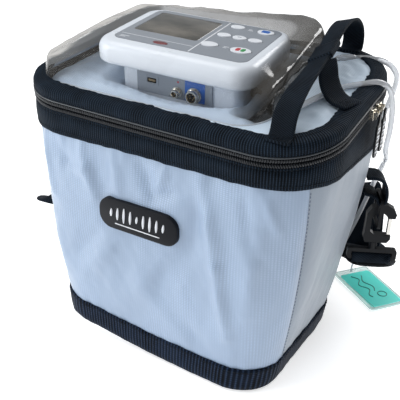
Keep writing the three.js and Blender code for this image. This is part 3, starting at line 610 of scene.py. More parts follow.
def warp(x, y):
    """How far the soft lid and rim sag or rise from their plane, over the lid."""
    a = np.clip((np.asarray(x, float) + 150) / 300, 0, 1)
    b = np.clip(np.asarray(y, float) / LID_DEPTH, 0, 1)
    return a * (1 - b) * -6.0 + a * b * 6.0 + (1 - a) * b * -2.5


def on_lid(points, amount=1.0):
    """Lid coordinates to world ones, with the lid's sag."""
    points = np.asarray(points, float)
    x, y = points[..., 0], points[..., 1]
    z = points[..., 2] + amount * warp(x, y)
    c, s = math.cos(SLOPE), math.sin(SLOPE)
    return np.stack([x, -MOUTH[1] / 2 + y * c - z * s, ZIP_FRONT + y * s + z * c], -1)


def smooth_noise(u, v, scale, seed, octaves=3):
    """Smooth seeded noise from -1 to 1, the same on every run."""
    rng = np.random.default_rng(seed)
    total = np.zeros(np.broadcast(u, v).shape)
    size = 1.0
    for octave in range(octaves):
        for _ in range(5):
            angle, phase = rng.uniform(0, 2 * np.pi, 2)
            k = 2 * np.pi / (scale / 2 ** octave) * rng.uniform(0.7, 1.3)
            total = total + size * np.sin(k * (u * math.cos(angle) + v * math.sin(angle)) + phase)
        size *= 0.5
    return total / 5.5


def ride(piece, body, replaced=()):
    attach(piece, body)
    if replaced:
        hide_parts(*([replaced] if isinstance(replaced, str) else replaced))
    return piece


# ---- The oxygen tube -----------------------------------------------------------------------------

TUBE_OUT = [
    (106.3, -50.5, 262.6), (110, -40.6, 263.8), (116, -20, 266.5),
    (121, -4, 268.7), (129, 10, 271), (140, 20, 273), (150, 29, 274.2), (157, 39.5, 268), (159.6, 49, 250),
    (159.6, 54, 228), (157.5, 58, 207), (155.5, 71, 192.5), (150, 85.5, 180), (142, 95, 158),
    (133, 98.5, 126),
    (123, 99, 92), (112, 98, 60), (100, 98.5, 28), (86, 98, 8), (76, 97, 3.2), (68.5, 96.7, 2.8)]
TUBE_BACK = [
    (75.4, 140, 13.2), (79, 128, 13.6), (84.5, 116, 17), (90, 109.5, 28), (96, 108.5, 50), (105, 108.5, 90),
    (117, 108, 140), (130, 104, 190), (141, 96, 228), (149.5, 84, 254), (152.5, 74, 270), (148, 69, 278.6),
    (140, 70.5, 281.3), (131, 74, 281), (118, 73.5, 280.4), (108, 67, 279.3)]
COIL_CENTRE = (50.0, 131.5)
COIL_RADII = (32.8, 27.4, 22.0)
TUBE_RADIUS = 2.45


def coil_route():
    """Three turns inwards on the floor, three outwards on top of them, clockwise from above, and up to the way out."""
    angles, radii, heights = [], [], []
    start, per_turn = -80.0, 26
    radius_steps = [*COIL_RADII, *COIL_RADII[::-1], 26.8]
    total = 6 + 261.5 / 360
    for k in range(1, int(total * per_turn) + 1):
        turn = k / per_turn
        whole = min(int(turn), 6)
        part = turn - whole
        here, after = radius_steps[whole], radius_steps[min(whole + 1, 6)]
        move = np.clip((part - 0.72) / 0.28, 0, 1)
        move = move * move * (3 - 2 * move)
        level = [0, 0, 0, 1, 1, 1, 2][whole]
        level_after = [0, 0, 1, 1, 1, 2, 2][whole]
        angles.append(start - 360 * turn)
        radii.append(here + (after - here) * move)
        heights.append(2.6 + 5.2 * (level + (level_after - level) * move))
    angles = np.radians(angles)
    return np.column_stack([COIL_CENTRE[0] + radii * np.cos(angles),
            COIL_CENTRE[1] + radii * np.sin(angles), heights])


tube_route = [*TUBE_OUT, (61.5, 97.6, 2.6), *coil_route(), *TUBE_BACK]
tube_path = curve(tube_route, 760)
oxygen_tube = tube("oxygen_tube", tube_path, TUBE_RADIUS, TUBE, 12)
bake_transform(oxygen_tube)
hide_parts("tube_out", "tube_back", "tube_coil")

end_point, end_way = tube_path[-1], unit(tube_path[-1] - tube_path[-4])
connector_path = curve([end_point - end_way * 7, end_point, (101, 61.5, 278.7), (99.5, 55, 277.8)], 26)
connector_radius = np.interp(np.linspace(0, 1, 26), [0, 0.2, 0.25, 0.55, 0.6, 0.7, 0.75, 1],
        [2.9, 3.5, 3.7, 3.7, 3.2, 3.2, 2.7, 2.2])
tube_connector = tube("tube_fitting", connector_path, connector_radius, TUBE, 20)
ride(tube_connector, "lid", "tube_connector")
grommet = joined("tube_grommet",
        [lathe_part([(2.6, -3), (5.2, -3), (5.8, -2.2), (5.8, -0.8), (4.2, 0.2), (3.4, 3.0), (2.6, 3.2)],
                                             (106.1, -51.0, 262.6), (0.35, 0.93, 0.11))], BLACK_PLASTIC,
                                             angle=50)
ride(grommet, "lid")
tie = joined("tube_tie",
        [ribbon_part(curve([(50 + 27.4 + 9.2 * math.cos(a), 131.5,
        5.3 + 6.6 * math.sin(a)) for a in np.linspace(0.2, 6.1, 14)], 30),
                                      6, 0.8, (0, 1, 0))], WEBBING, cloth=True)
ride(tie, "bag")


# ---- Bag walls -----------------------------------------------------------------------------------

def flare(z):
    """Width, depth and corner of the bag at a height."""
    f = np.clip(z / WALL_TOP, 0, 1)
    return [a + (b - a) * f for a, b in zip(FOOT, MOUTH)]


def round_bag(z, share, part):
    """Points on the bag's outline at a height: share runs 0 to 1 over the front or the rear part, seam to seam."""
    width, depth, corner = flare(z)
    points, normals, travelled = outline(width, depth, corner)
    quarter = math.pi / 2 * corner
    straight_x, straight_y = width - 2 * corner, depth - 2 * corner
    turn = math.radians(36) * np.clip((z - 25) / 188, 0, 1)
    left = straight_x / 2 + quarter + straight_y + turn * corner
    right = left - turn * corner + 2 * quarter + straight_x - turn * corner
    if part == "front":
        where = left + (right - left) * share
        across = where - (left + right) / 2
    else:
        where = right + (travelled[-1] - right + left) * share
        across = where - right
        where = where % travelled[-1]
    at = np.stack([np.interp(where, travelled, points[:, k]) for k in (0, 1)], -1)
    out = unit(np.stack([np.interp(where, travelled, normals[:, k]) for k in (0, 1)], -1))
    return at, out, across


# Creases of the front panel: from (across, height) to (across, height), with a width and a depth.
CREASES = [
    (-118, 205, -108, 150, 5, 1.6), (-100, 200, -82, 178, 8, -1.7), (-82, 178, -66, 186, 6, 1.5),
    (-74, 212, -58, 160, 6, 1.7), (-52, 212, -46, 140, 9, -1.4), (-34, 210, -28, 150, 7, 1.5),
    (-8, 212, 6, 176, 8, -2.4), (6, 176, 34, 190, 7, -1.8), (22, 212, 12, 186, 5, 1.5),
    (52, 212, 72, 130, 8, 2.6),
    (72, 130, 84, 60, 6, 2.2), (60, 206, 44, 140, 10, -2.2), (44, 140, 10, 84, 12, -1.8),
    (20, 120, -30, 50, 12, 1.5),
    (-30, 128, -74, 66, 10, 1.6), (-56, 120, -92, 80, 9, -1.4), (92, 208, 104, 150, 7, -1.6),
    (104, 170, 100, 90, 8, 1.5),
    (110, 206, 122, 176, 5, 1.4), (-8, 90, 30, 40, 14, 1.4), (-110, 120, -104, 60, 9, 1.2),
    (36, 60, 60, 34, 9, -1.2)]


def crease_field(u, v):
    total = np.zeros(np.shape(u))
    for u0, v0, u1, v1, width, depth in CREASES:
        along = np.array([u1 - u0, v1 - v0], float)
        size = along.dot(along)
        t = np.clip(((u - u0) * along[0] + (v - v0) * along[1]) / size, 0, 1)
        gap = np.hypot(u - u0 - t * along[0], v - v0 - t * along[1])
        total = total + depth * np.exp(-(gap / width) ** 2) * (0.45 + 0.55 * np.sin(np.pi * np.clip(t, 0.04,
                0.96)))
    return total


BADGE_FRONT = np.mean([np.array(corner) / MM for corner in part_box("badge")], axis=0)


CREASE_DEPTH = 2.3
BADGE_REACH = (48, 24)


def wall_swell(u, z, part, half):
    rise = np.clip((z - BASE_BAND) / (WALL_TOP - BASE_BAND), 0, 1)
    belly = 3.4 * np.sin(np.pi * rise) ** 0.7
    pucker = smooth_noise(u, z * 0.12, 13, 5,
            2) * (1.1 * np.exp(-(WALL_TOP - z) / 15) + 0.8 * np.exp(-abs(z - BASE_BAND) / 12))
    loose = smooth_noise(u * 1.5, z * 0.55, 70, 11 if part == "front" else 23,
            4) * 1.5 * np.sin(np.pi * rise) ** 0.5
    fine = smooth_noise(u, z, 9, 31, 2) * 0.12
    fade = 1 - np.exp(-(half - np.abs(u)) / 6.0) if part == "front" else 1.0
    swell = belly + pucker + fine + loose
    if part == "front":
        creases = CREASE_DEPTH * crease_field(u, z) * np.sin(np.pi * np.clip(rise, 0.02, 0.98)) ** 0.25
        under_badge = np.exp(-(((u - BADGE_FRONT[0]) / BADGE_REACH[0]) ** 2
                                + ((z - BADGE_FRONT[2]) / BADGE_REACH[1]) ** 2) ** 2)
        swell = swell + creases * (1 - 0.9 * under_badge) - 0.8 * loose * under_badge
    under_band = np.clip((z - 14) / 12, 0, 1)
    return swell * fade * under_band + 0.5


CORNER_RISE = 12.0


def corner_lift(points):
    """The bag's soft foot curls up off the floor at its front left corner: the same points, raised there."""
    points = np.array(points, float)
    reach = np.hypot((points[..., 0] + 116) / 115, (points[..., 1] + 88) / 90)
    points[..., 2] += CORNER_RISE * np.exp(-(reach ** 2) * 1.4) * np.clip(1 - points[..., 2] / 150, 0, 1)
    return points


def wall_piece(name, part, columns, material):
    heights = np.concatenate([np.linspace(4, WALL_TOP + 2, 92)])
    share = np.linspace(0, 1, columns)
    outer, cloth = [], []
    for z in heights:
        at, out, across = round_bag(z, share, part)
        half = np.abs(across).max() + 0.01 if part == "front" else 1.0
        swell = wall_swell(across, z, part, half)
        if part != "front":
            edge = np.minimum(across, across.max() - across)
            swell = swell * (1 - np.exp(-edge / 6.0))
        swell = swell - 0.8
        outer.append(np.column_stack([at + out * swell[:, None], np.full(columns, z)]))
        cloth.append(np.column_stack([across, np.full(columns, z)]))
    for z in heights[::-13]:
        at, out, across = round_bag(z, share, part)
        outer.append(np.column_stack([at - out * 4.5, np.full(columns, z)]))
        cloth.append(np.column_stack([across, np.full(columns, z)]))
    points = corner_lift(outer)
    rows = len(points)
    faces = grid_faces(rows, columns, wrap_rows=True)
    edge = [i * columns for i in range(rows)]
    faces += [tuple(edge), tuple(i + columns - 1 for i in edge[::-1])]
    return mesh(name, points.reshape(-1, 3), faces, material, np.array(cloth).reshape(-1, 2), angle=60)


front = wall_piece("front_fabric", "front", 230, SILVER)
ride(front, "bag", "front_panel")
rear = wall_piece("rear_fabric", "rear", 250, SILVER_SIDE)
ride(rear, "bag", "rear_shell")


def seam_path(side, lift, low=26.0, high=212.0, count=90):
    points = []
    for z in np.linspace(low, high, count):
        at, out, _ = round_bag(z, np.array([0.0, 1.0]), "front")
        pick = 1 if side > 0 else 0
        points.append([*(at[pick] + out[pick] * lift), z])
    return corner_lift(points)


def stitches_parts(path, stitch=2.6, gap=1.2, radius=0.42):
    """Short thread capsules along a path, with their ends dipping out of sight."""
    total = length_of(path)
    fine = even(path, int(total / 0.65) + 2)
    step = total / (len(fine) - 1)
    parts, at = [], 0.0
    while at + stitch < total:
        first = int(at / step)
        piece = fine[first:first + max(3, int(stitch / step) + 1)]
        sizes = np.interp(np.linspace(0, 1, len(piece)), [0, 0.2, 0.8, 1], [0.45, 1, 1, 0.45]) * radius
        parts.append(tube_part(piece, sizes, 6))
        at += stitch + gap
    return parts


for side, word in ((1, "right"), (-1, "left")):
    welt = tube(f"side_seam_{word}", seam_path(side, -0.3), 0.75, SILVER_SIDE, 8)
    ride(welt, "bag")
    ride(joined(f"side_seam_stitches_{word}", stitches_parts(seam_path(side, 0.35)), THREAD), "bag")


# ---- Bands round the bag -------------------------------------------------------------------------

def zip_height(points):
    """World height of the zip line above points of the mouth."""
    y = points[:, 1] + MOUTH[1] / 2
    return ZIP_FRONT + y * math.tan(SLOPE) + warp(points[:, 0], y / math.cos(SLOPE))


def loop(name, rows, material, body, replaced=(), cloth=None):
    points = np.array(rows)
    count = points.shape[1]
    if cloth is None:
        steps = np.linalg.norm(np.diff(points[:, count // 2], axis=0), axis=1)
        across = np.concatenate([[0], np.cumsum(steps)])
        travelled = np.concatenate([[0], np.cumsum(np.linalg.norm(np.diff(points[0], axis=0), axis=1))])
        cloth = np.stack(np.meshgrid(across, travelled, indexing="ij"), -1)
    piece = grid(name, points, material, cloth, wrap_rows=True)
    return ride(piece, body, replaced)


_, _, base_run = outline(*flare(12.0), straight=(96, 60), arc=18)
base_wave = smooth_noise(base_run, base_run * 0, 46, 3, 3) * 0.8
base_rows = []
for out, z, follow in ((-9, 0.0, 0), (-0.6, 0.0, 0), (0.9, 0.5, 0), (1.8, 2.2, 0), (2.3, 6.0, 0),
        (2.3, 11, 0), (2.2, 16, 0.4), (2.0, 21, 0.8),
                       (1.7, BASE_BAND - 0.8, 1), (0.9, BASE_BAND + 0.1, 1), (-0.8, BASE_BAND - 0.3, 1),
                       (-2.0, 12, 0), (-9, 3.0, 0)):
    width, depth, corner = flare(z)
    at, normal, _ = outline(width, depth, corner, straight=(96, 60), arc=18)
    ruck = smooth_noise(base_run, base_run * 0 + z, 17, 9, 2) * 0.45 if out > 0 else 0 * base_run
    sag = smooth_noise(base_run, z * 0.4 + 0 * base_run, 90, 12, 2) * 0.9 if out > 1 else 0 * base_run
    base_rows.append(np.column_stack([at + normal * (out + ruck + sag)[:, None], z + base_wave * follow]))
loop("base_band", corner_lift(base_rows), BLACK_BASE, "bag", "base_tray")
base_panel = joined("base_panel",
        [puck_part(outline(225, 169, 34)[0][:-1], [(60, 0.0), (30, 0.0), (0.6, 0.0), (0, 0.4), (0, 3.0),
        (30, 3.0), (60, 3.0)],
                                             corner_lift)], BLACK_BASE)
ride(base_panel, "bag")
for level, wide in ((BASE_BAND - 2.6, 1.0),):
    at, normal, _ = outline(*flare(level), straight=(96, 60), arc=18)
    ruck = smooth_noise(base_run, base_run * 0 + level, 17, 9, 2) * 0.45 + smooth_noise(base_run,
            level * 0.4 + 0 * base_run, 90, 12, 2) * 0.9
    line = np.column_stack([at + normal * (1.95 + ruck)[:, None], level + base_wave])
    ride(joined("base_stitches", stitches_parts(corner_lift(line), 3.0, 1.2, 0.38), THREAD_BLACK), "bag")

rim_points, rim_normals, rim_run = outline(*MOUTH, straight=(96, 60), arc=22)
rim_top = zip_height(rim_points)
band_wave = smooth_noise(rim_run, rim_run * 0, 38, 8, 3) * 0.9
band_puff = smooth_noise(rim_run, rim_run * 0, 55, 14, 3) * 0.5


def rim_row(out, low_share, lift):
    """A row round the mouth: low_share 0 is the band's lower edge and 1 is the zip line, and lift is added in mm."""
    low = WALL_TOP + band_wave * (1 - low_share)
    z = low + (rim_top - low) * low_share + lift
    return np.column_stack([
        rim_points
        + rim_normals * (out + band_puff * (low_share * (1 - low_share) * 4))[:, None], z])


loop("rim_band", [rim_row(0.2, 0, -1.4), rim_row(1.8, 0, -1.2), rim_row(2.4, 0, 0.3), rim_row(2.3, 0, 2.2),
        rim_row(2.9, 0.25, 0),
                  rim_row(3.1, 0.45, 0), rim_row(2.9, 0.7, 0), rim_row(2.3, 1, -7.0), rim_row(2.5, 1, -5.6),
                  rim_row(2.3, 1, -4.4),
                  rim_row(0.6, 1, -3.9), rim_row(-2.8, 1, -4.2), rim_row(-3.2, 0.5, 0),
                  rim_row(-2.8, 0, 0.5)],
     BLACK_BAND, "bag", "top_band")
for share, lift, out, label in ((0, 2.6, 2.55, "low"), (1, -6.3, 2.6, "high")):
    ride(joined(f"rim_stitches_{label}", stitches_parts(rim_row(out, share, lift), 3.0, 1.1, 0.38),
            THREAD_BLACK), "bag")
inner_wall = [rim_row(-3.4, 1, -5), rim_row(-4.2, 1, -5), rim_row(-5.0, 0.5, 0), rim_row(-6.0, 0, -6),
        rim_row(-5.2, 0, -6), rim_row(-4.0, 0.5, 0)]
loop("rim_lining", inner_wall, FOIL, "bag")


# ---- Zip -----------------------------------------------------------------------------------------

def zip_row(out, lift):
    """A row along the zip line, square to the lid's plane."""
    local = np.column_stack([rim_points[:, 0] + rim_normals[:, 0] * out,
                             LID_DEPTH / 2 + rim_points[:, 1] / math.cos(SLOPE) + rim_normals[:, 1] * out,
                             np.full(len(rim_points), lift)])
    return on_lid(local)


loop("zip_tape_low", [zip_row(0.6, -4.4), zip_row(2.2, -4.3), zip_row(2.5, -3.2), zip_row(2.6, -1.2),
        zip_row(2.2, -0.4),
                      zip_row(1.0, -0.4), zip_row(0.6, -2)], ZIP_TAPE, "bag", "zipper_lower")
loop("zip_tape_high", [zip_row(0.6, 4.4), zip_row(2.2, 4.3), zip_row(2.5, 3.2), zip_row(2.6, 1.2),
        zip_row(2.2, 0.4),
                       zip_row(1.0, 0.4), zip_row(0.6, 2)], ZIP_TAPE, "lid", "zipper_upper")


def zip_teeth(sign):
    """The coil's turns: each a small capsule leaning along the zip."""
    middle = even(zip_row(2.6, 2.2 * sign), int(length_of(zip_row(2.9, 0)) / 2.0))
    along = tangents(middle)
    up = np.array([0, -math.sin(SLOPE), math.cos(SLOPE)])
    parts = []
    for point, way in zip(middle[::1], along[::1]):
        outward = np.cross(way, up)
        lean = up * 1.75 * sign
        ends = [point - lean - way * 0.8 - outward * 0.3, point - lean * 0.45 - way * 0.3 + outward * 0.5,
                point + lean * 0.45 + way * 0.3 + outward * 0.5, point + lean + way * 0.8 - outward * 0.5]
        parts.append(tube_part(np.array(ends), [0.5, 0.85, 0.85, 0.45], 6))
    return parts


ride(joined("zip_coil_low", zip_teeth(-1), COIL), "bag")
ride(joined("zip_coil_high", zip_teeth(1), COIL), "lid")
ride(tube("zip_piping", zip_row(3.2, 5.0), 0.7, PIPING, 8), "lid")
ride(tube("zip_piping_low", zip_row(2.7, -4.9), 0.5, THREAD_BLACK, 8), "bag")


# ---- Lid -----------------------------------------------------------------------------------------

jag = np.abs(smooth_noise(rim_run, rim_run * 0, 15, 41, 3)) * 2.3 + smooth_noise(rim_run, rim_run * 0, 60,
        4, 2) * 1.2
lid_puff = smooth_noise(rim_run, rim_run * 0, 48, 18, 3) * 0.7
lid_rows = []
for out, z, follow, puffed in ((1.0, 4.9, 0, 0), (2.9, 5.2, 0, 0), (3.0, 6.4, 0, 0.3), (3.3, 9.0, 0, 0.8),
        (2.9, 11.8, 0, 1), (1.6, 14.2, 0, 1), (-0.6, 15.6, 0, 1),
                               (-4.0, 16.3, 0, 1), (-7.5, 16.6, 0.4, 0.8), (-10.4, 16.6, 1, 0.5),
                               (-11.6, 15.9, 1, 0), (-11.4, 14.6, 1, 0), (-7, 14.0, 0, 0),
                               (-2, 12.0, 0, 0), (-1.0, 6.0, 0, 0)):
    shift = out - jag * follow
    local = np.column_stack([rim_points[:, 0] + rim_normals[:, 0] * shift,
                             LID_DEPTH / 2 + rim_points[:, 1] / math.cos(SLOPE) + rim_normals[:, 1] * shift,
                             z + lid_puff * puffed])
    lid_rows.append(on_lid(local))
loop("lid_band_fabric", lid_rows, BLACK_BAND, "lid", "lid_band")


def lid_line(out, z):
    local = np.column_stack([rim_points[:, 0] + rim_normals[:, 0] * out,
                             LID_DEPTH / 2 + rim_points[:, 1] / math.cos(SLOPE) + rim_normals[:, 1] * out,
                             z + lid_puff])
    return on_lid(local)


ride(joined("lid_stitches", stitches_parts(lid_line(3.15, np.full(len(rim_run), 7.6)), 3.0, 1.1, 0.36),
        THREAD_BLACK), "lid")
ride(joined("lid_stitches_top", stitches_parts(lid_line(-6.0, np.full(len(rim_run), 16.5)), 3.0, 1.1, 0.36),
        THREAD_BLACK), "lid")

hood_width, hood_depth = HOOD["right"] - HOOD["left"], HOOD["back"] - HOOD["front"]
hood_centre = np.array([(HOOD["right"] + HOOD["left"]) / 2, (HOOD["back"] + HOOD["front"]) / 2])
hood_points, hood_normals, hood_run = outline(hood_width, hood_depth, HOOD["corner"], straight=(96, 60),
        arc=22)
hood_foot = hood_points + hood_centre
lid_inner = np.column_stack([rim_points[:, 0], LID_DEPTH / 2 + rim_points[:,
        1] / math.cos(SLOPE)]) - rim_normals * 7.0
panel_rows, panel_cloth = [], []
for k, f in enumerate(np.linspace(0, 1, 22)):
    flat = lid_inner * (1 - f) + (hood_foot + hood_normals * 0.4) * f
    free = np.clip(np.linalg.norm(lid_inner - hood_foot, axis=1) / 30, 0.15, 1)
    bump = (smooth_noise(flat[:, 0], flat[:, 1], 26, 51, 4) * 1.5 + smooth_noise(rim_run,
            rim_run * 0 + f * 20, 9, 5, 2) * 0.8 * (1 - f)) * free
    rise = 14.2 + 0.9 * f + bump * math.sin(math.pi * min(1,
            0.15 + f * 0.85)) + 1.3 * free * math.sin(math.pi * f)
    panel_rows.append(on_lid(np.column_stack([flat, rise])))
    panel_cloth.append(flat)
for f in (1.0, 0.5, 0.0):
    flat = lid_inner * (1 - f) + (hood_foot + hood_normals * 0.4) * f
    panel_rows.append(on_lid(np.column_stack([flat, np.full(len(flat), 12.6)])))
    panel_cloth.append(flat)
loop("lid_fabric", panel_rows, LID_NYLON, "lid", "lid_panel", cloth=np.array(panel_cloth))


# ---- Unit outline helpers used by the pad and the hood -------------------------------------------

def to_lid(world):
    world = np.asarray(world, float)
    y, z = world[..., 1] + MOUTH[1] / 2, world[..., 2] - ZIP_FRONT
    c, s = math.cos(SLOPE), math.sin(SLOPE)
    return np.stack([world[..., 0], y * c + z * s, -y * s + z * c], -1)


corners = to_lid(to_unit(np.array([(-78, -58, 1.2), (75, -58, 1.2), (75, 48, 1.2), (-78, 48, 1.2)])))
plane = np.linalg.lstsq(np.column_stack([corners[:, :2], np.ones(4)]), corners[:, 2], rcond=None)[0]
cover_centre = corners[:, :2].mean(0)
cover_x = unit(corners[1, :2] - corners[0, :2])
cover_y = np.array([-cover_x[1], cover_x[0]])


def outside_cover(x, y, corner=16.0):
    """How far outside the unit's cover a lid point is, in mm."""
    dx, dy = x - cover_centre[0], y - cover_centre[1]
    a = np.abs(dx * cover_x[0] + dy * cover_x[1]) - (76.5 - corner)
    b = np.abs(dx * cover_y[0] + dy * cover_y[1]) - (53.0 - corner)
    return np.maximum(0, np.hypot(np.maximum(a, 0), np.maximum(b, 0)) - corner)


# ---- Padding round the unit ----------------------------------------------------------------------

def pad_collar():
    count = len(hood_foot)
    case_points, _, _ = outline(118 + 7, 90 + 7, 13, straight=(96, 60), arc=22)
    case = to_lid(to_unit(np.column_stack([case_points + (3.0, 1.0), np.full(count, -40.0)])))
    outer = np.column_stack([hood_foot - hood_normals * 3.5, np.full(count, 9.5)])
    rows, cloth = [], []
    for f in np.linspace(0, 1, 34):
        flat = outer * (1 - f) + case * f
        reach = np.clip(np.linalg.norm(outer[:, :2] - case[:, :2], axis=1) / 40, 0.25, 1)
        dark = np.clip((flat[:, 0] - 60) / 8, 0, 1) * np.clip((flat[:, 1] - 30) / 14, 0,
                1) * np.clip((150 - flat[:, 1]) / 14, 0, 1)
        height = 9.0 + 6.5 * reach * math.sin(math.pi * f) ** 0.7 - 2.5 * f ** 6 - 1.5 * (1 - f) ** 6
        height = height + smooth_noise(flat[:, 0], flat[:, 1], 34, 71,
                4) * 2.0 * math.sin(math.pi * min(0.9, f + 0.1)) - dark * 13
        ports = np.exp(-((flat[:, 0] - 6) / 52) ** 4) * np.clip((84 - flat[:, 1]) / 24, 0,
                1) * np.clip((f - 0.15) / 0.6, 0, 1)
        height = height - 7.5 * ports
        rows.append(on_lid(np.column_stack([flat[:, :2], height]), 0.5))
        cloth.append(flat[:, :2])
    for f in (1.0, 0.8, 0.5, 0.2, 0.0):
        flat = outer * (1 - f) + case * f
        rows.append(on_lid(np.column_stack([flat[:, :2], np.full(count, -12.0)]), 0.5))
        cloth.append(flat[:, :2])
    return rows, cloth


pad_rows, pad_cloth = pad_collar()
pad_cloth = np.array(pad_cloth)
# Painted shade: the pad is painted near black to the right of the unit.
in_shade = (np.clip((pad_cloth[..., 0] - 63) / 7, 0, 1)
            * np.clip((pad_cloth[..., 1] - 26) / 10, 0, 1)
            * np.clip((160 - pad_cloth[..., 1]) / 10, 0, 1))
top_pad = loop("unit_padding", pad_rows, PAD_NYLON, "bag", "top_pad",
        cloth=np.dstack([pad_cloth, in_shade]))


# ---- Clear hood ----------------------------------------------------------------------------------

def soft_max(a, b, width):
    h = np.clip(0.5 + 0.5 * (a - b) / width, 0, 1)
    return a * h + b * (1 - h) + width * h * (1 - h)


def hood_height(x, y, inside):
    a = np.clip((x - HOOD["left"]) / hood_width, 0, 1)
    b = np.clip((y - HOOD["front"]) / hood_depth, 0, 1)
    drape = (1 - a) * (1 - b) * 31 + a * (1 - b) * 30 + a * b * 50 + (1 - a) * b * 40
    drape = drape - 3.0 * np.sin(np.pi * a) * (1 - b) ** 2 + 2.0 * np.sin(np.pi * a)
    out = outside_cover(x, y)
    tent = plane[0] * x + plane[1] * y + plane[2] + 2.2 - 0.40 * out - 0.004 * out ** 2
    top = soft_max(drape, tent, 6.0)
    top = np.where(out < 3, np.maximum(top, plane[0] * x + plane[1] * y + plane[2] + 1.6), top)
    wall = 15.6 + 34 * (1 - np.exp(-inside / 3.6)) + 1.0 * inside
    return -soft_max(-top, -wall, 7.0)


def hood_painted_reflection_and_shade(x, y):
    """How much painted reflection and painted shade the vinyl carries: none over the unit and in front of it, dense
    round the left, the back and the right.
    """
    out = outside_cover(x, y)
    front = np.clip((y - HOOD["front"] - 4) / 22, 0, 1)
    left = np.clip((-92 - x) / 14, 0, 1)
    right = np.clip((x - 74) / 10, 0, 1)
    behind = np.clip((y - 100) / 20, 0, 1)
    sides = np.maximum(np.maximum(left * np.clip(front * 3, 0, 1), right * front), behind)
    painted_light_density = 0.62 + np.maximum(0.32 * left, 0.16 * right)
    return 0.07 + painted_light_density * sides * np.clip(out / 5, 0, 1)


def clear_hood():
    rows, cloth = [], []
    inside_steps = np.concatenate([np.linspace(0, 1, 22, endpoint=False) ** 1.8 * 0.42,
            np.linspace(0.42, 0.985, 22)])
    for f in inside_steps:
        flat = hood_centre + (hood_foot - hood_centre) * (1 - f)
        inside = f * np.linalg.norm(hood_foot - hood_centre, axis=1) * 0.72
        height = hood_height(flat[:, 0], flat[:, 1], inside)
        loose = np.clip(outside_cover(flat[:, 0], flat[:, 1]) / 22, 0.08, 1) * np.clip(inside / 5, 0.0, 1)
        fold = 1 - np.abs(smooth_noise(flat[:, 0] * 0.9, flat[:, 1] * 1.4, 80, 61, 2)) * 2
        crinkle = smooth_noise(flat[:, 0], flat[:, 1], 17, 67, 3)
        height = height + (fold * 1.4 + crinkle * 0.3) * loose
        push = smooth_noise(hood_run, inside * 2.0, 40, 77,
                2) * 0.8 * np.exp(-inside / 9) * np.clip(inside / 2, 0, 1)
        flat = flat + hood_normals * push[:, None]
        rows.append(on_lid(np.column_stack([flat, height])))
        cloth.append(flat)
    points = np.array(rows)
    count = points.shape[1]
    faces = grid_faces(len(points), count)
    centre = points[-1][:-1].mean(0)
    vertices = np.vstack([points.reshape(-1, 3), centre])
    last = (len(points) - 1) * count
    faces += [(last + j, last + j + 1, len(vertices) - 1) for j in range(count - 1)]
    flat = np.vstack([np.array(cloth).reshape(-1, 2), hood_centre])
    return mesh("clear_hood", vertices, faces, VINYL,
            np.column_stack([flat, hood_painted_reflection_and_shade(flat[:, 0], flat[:, 1])]))


hood = clear_hood()
ride(hood, "lid", "vinyl_hood")
ride(tube("hood_binding",
        on_lid(np.column_stack([hood_foot + hood_normals * 0.6, np.full(len(hood_foot), 15.2)])), 0.8,
        BINDING, 8), "lid")


# ---- Hinge tape at the back ----------------------------------------------------------------------

hinge_rows = []
hinge_x = np.linspace(-92, 92, 60)
back_y = LID_DEPTH
for out, lift in ((2.4, -12), (3.4, -9), (3.9, -4), (4.1, 0), (3.9, 4), (3.4, 9), (2.6, 12), (1.9, 11),
        (2.6, 4), (2.8, 0), (2.6, -4), (1.9, -11)):
    local = np.column_stack([hinge_x, np.full(60, back_y + out), lift + 0 * hinge_x])
    hinge_rows.append(on_lid(local))
hinge_points = np.array(hinge_rows)
hinge_cloth = np.stack(np.meshgrid(np.arange(12) * 4.0, hinge_x, indexing="ij"), -1)
hinge_faces = grid_faces(12, 60, wrap_rows=True) + [tuple(i * 60 for i in range(12)),
        tuple(i * 60 + 59 for i in range(11, -1, -1))]
hinge = mesh("hinge_tape", hinge_points.reshape(-1, 3), hinge_faces, WEBBING, hinge_cloth.reshape(-1, 2),
        angle=50)
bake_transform(hinge)


# ---- Handles -------------------------------------------------------------------------------------

HANDLE_LIFT = LID_TOP + 1.25
HANDLE_ROUTE = [
    (116.5, 4, HANDLE_LIFT + 1), (116.2, 12, HANDLE_LIFT + 1.2), (114.5, 24, 30), (113, 45, 38),
    (112, 74, 42.5), (110, 106, 46.5), (107.5, 132, 51.5),
    (106, 149, 52.5), (105.5, 163, 50.5), (105, 173, 46), (104.5, 184, 36.5), (104.4, 187, 26.5),
    (104.5, 184, HANDLE_LIFT + 1.6),
    (104.7, 176, HANDLE_LIFT + 1)]
SIDE_LEG = [(113.5, 101, 41.5), (116, 99, 35.5), (119, 95, 27.5), (125, 89, 21),
        (133, 84, HANDLE_LIFT + 1.2), (147, 79, HANDLE_LIFT + 1.2)]
handle_path = on_lid(curve(HANDLE_ROUTE, 120))
handle_roll = np.radians(32) * np.sin(np.pi * np.clip(np.linspace(-0.15, 1.15, 120), 0, 1))
handle_across = np.column_stack([np.cos(handle_roll), 0 * handle_roll + 0.04, np.sin(handle_roll)])
ride(ribbon("carrying_handle", handle_path, HANDLE_WIDTH, handle_across, thickness=2.2),
     "lid", "handle_strap")
leg_path = on_lid(curve(SIDE_LEG, 46))
ride(ribbon("handle_leg", leg_path, HANDLE_WIDTH, on_lid([(0.4, 0.9, 0)])[0] - on_lid([(0, 0, 0)])[0],
        thickness=2.2),
     "lid", "handle_side_leg")
sleeve_path = handle_path[52:64]
ride(ribbon("handle_sleeve", sleeve_path, HANDLE_WIDTH + 3.4, handle_across[52:64], thickness=5.6,
        crown=0.5), "lid")


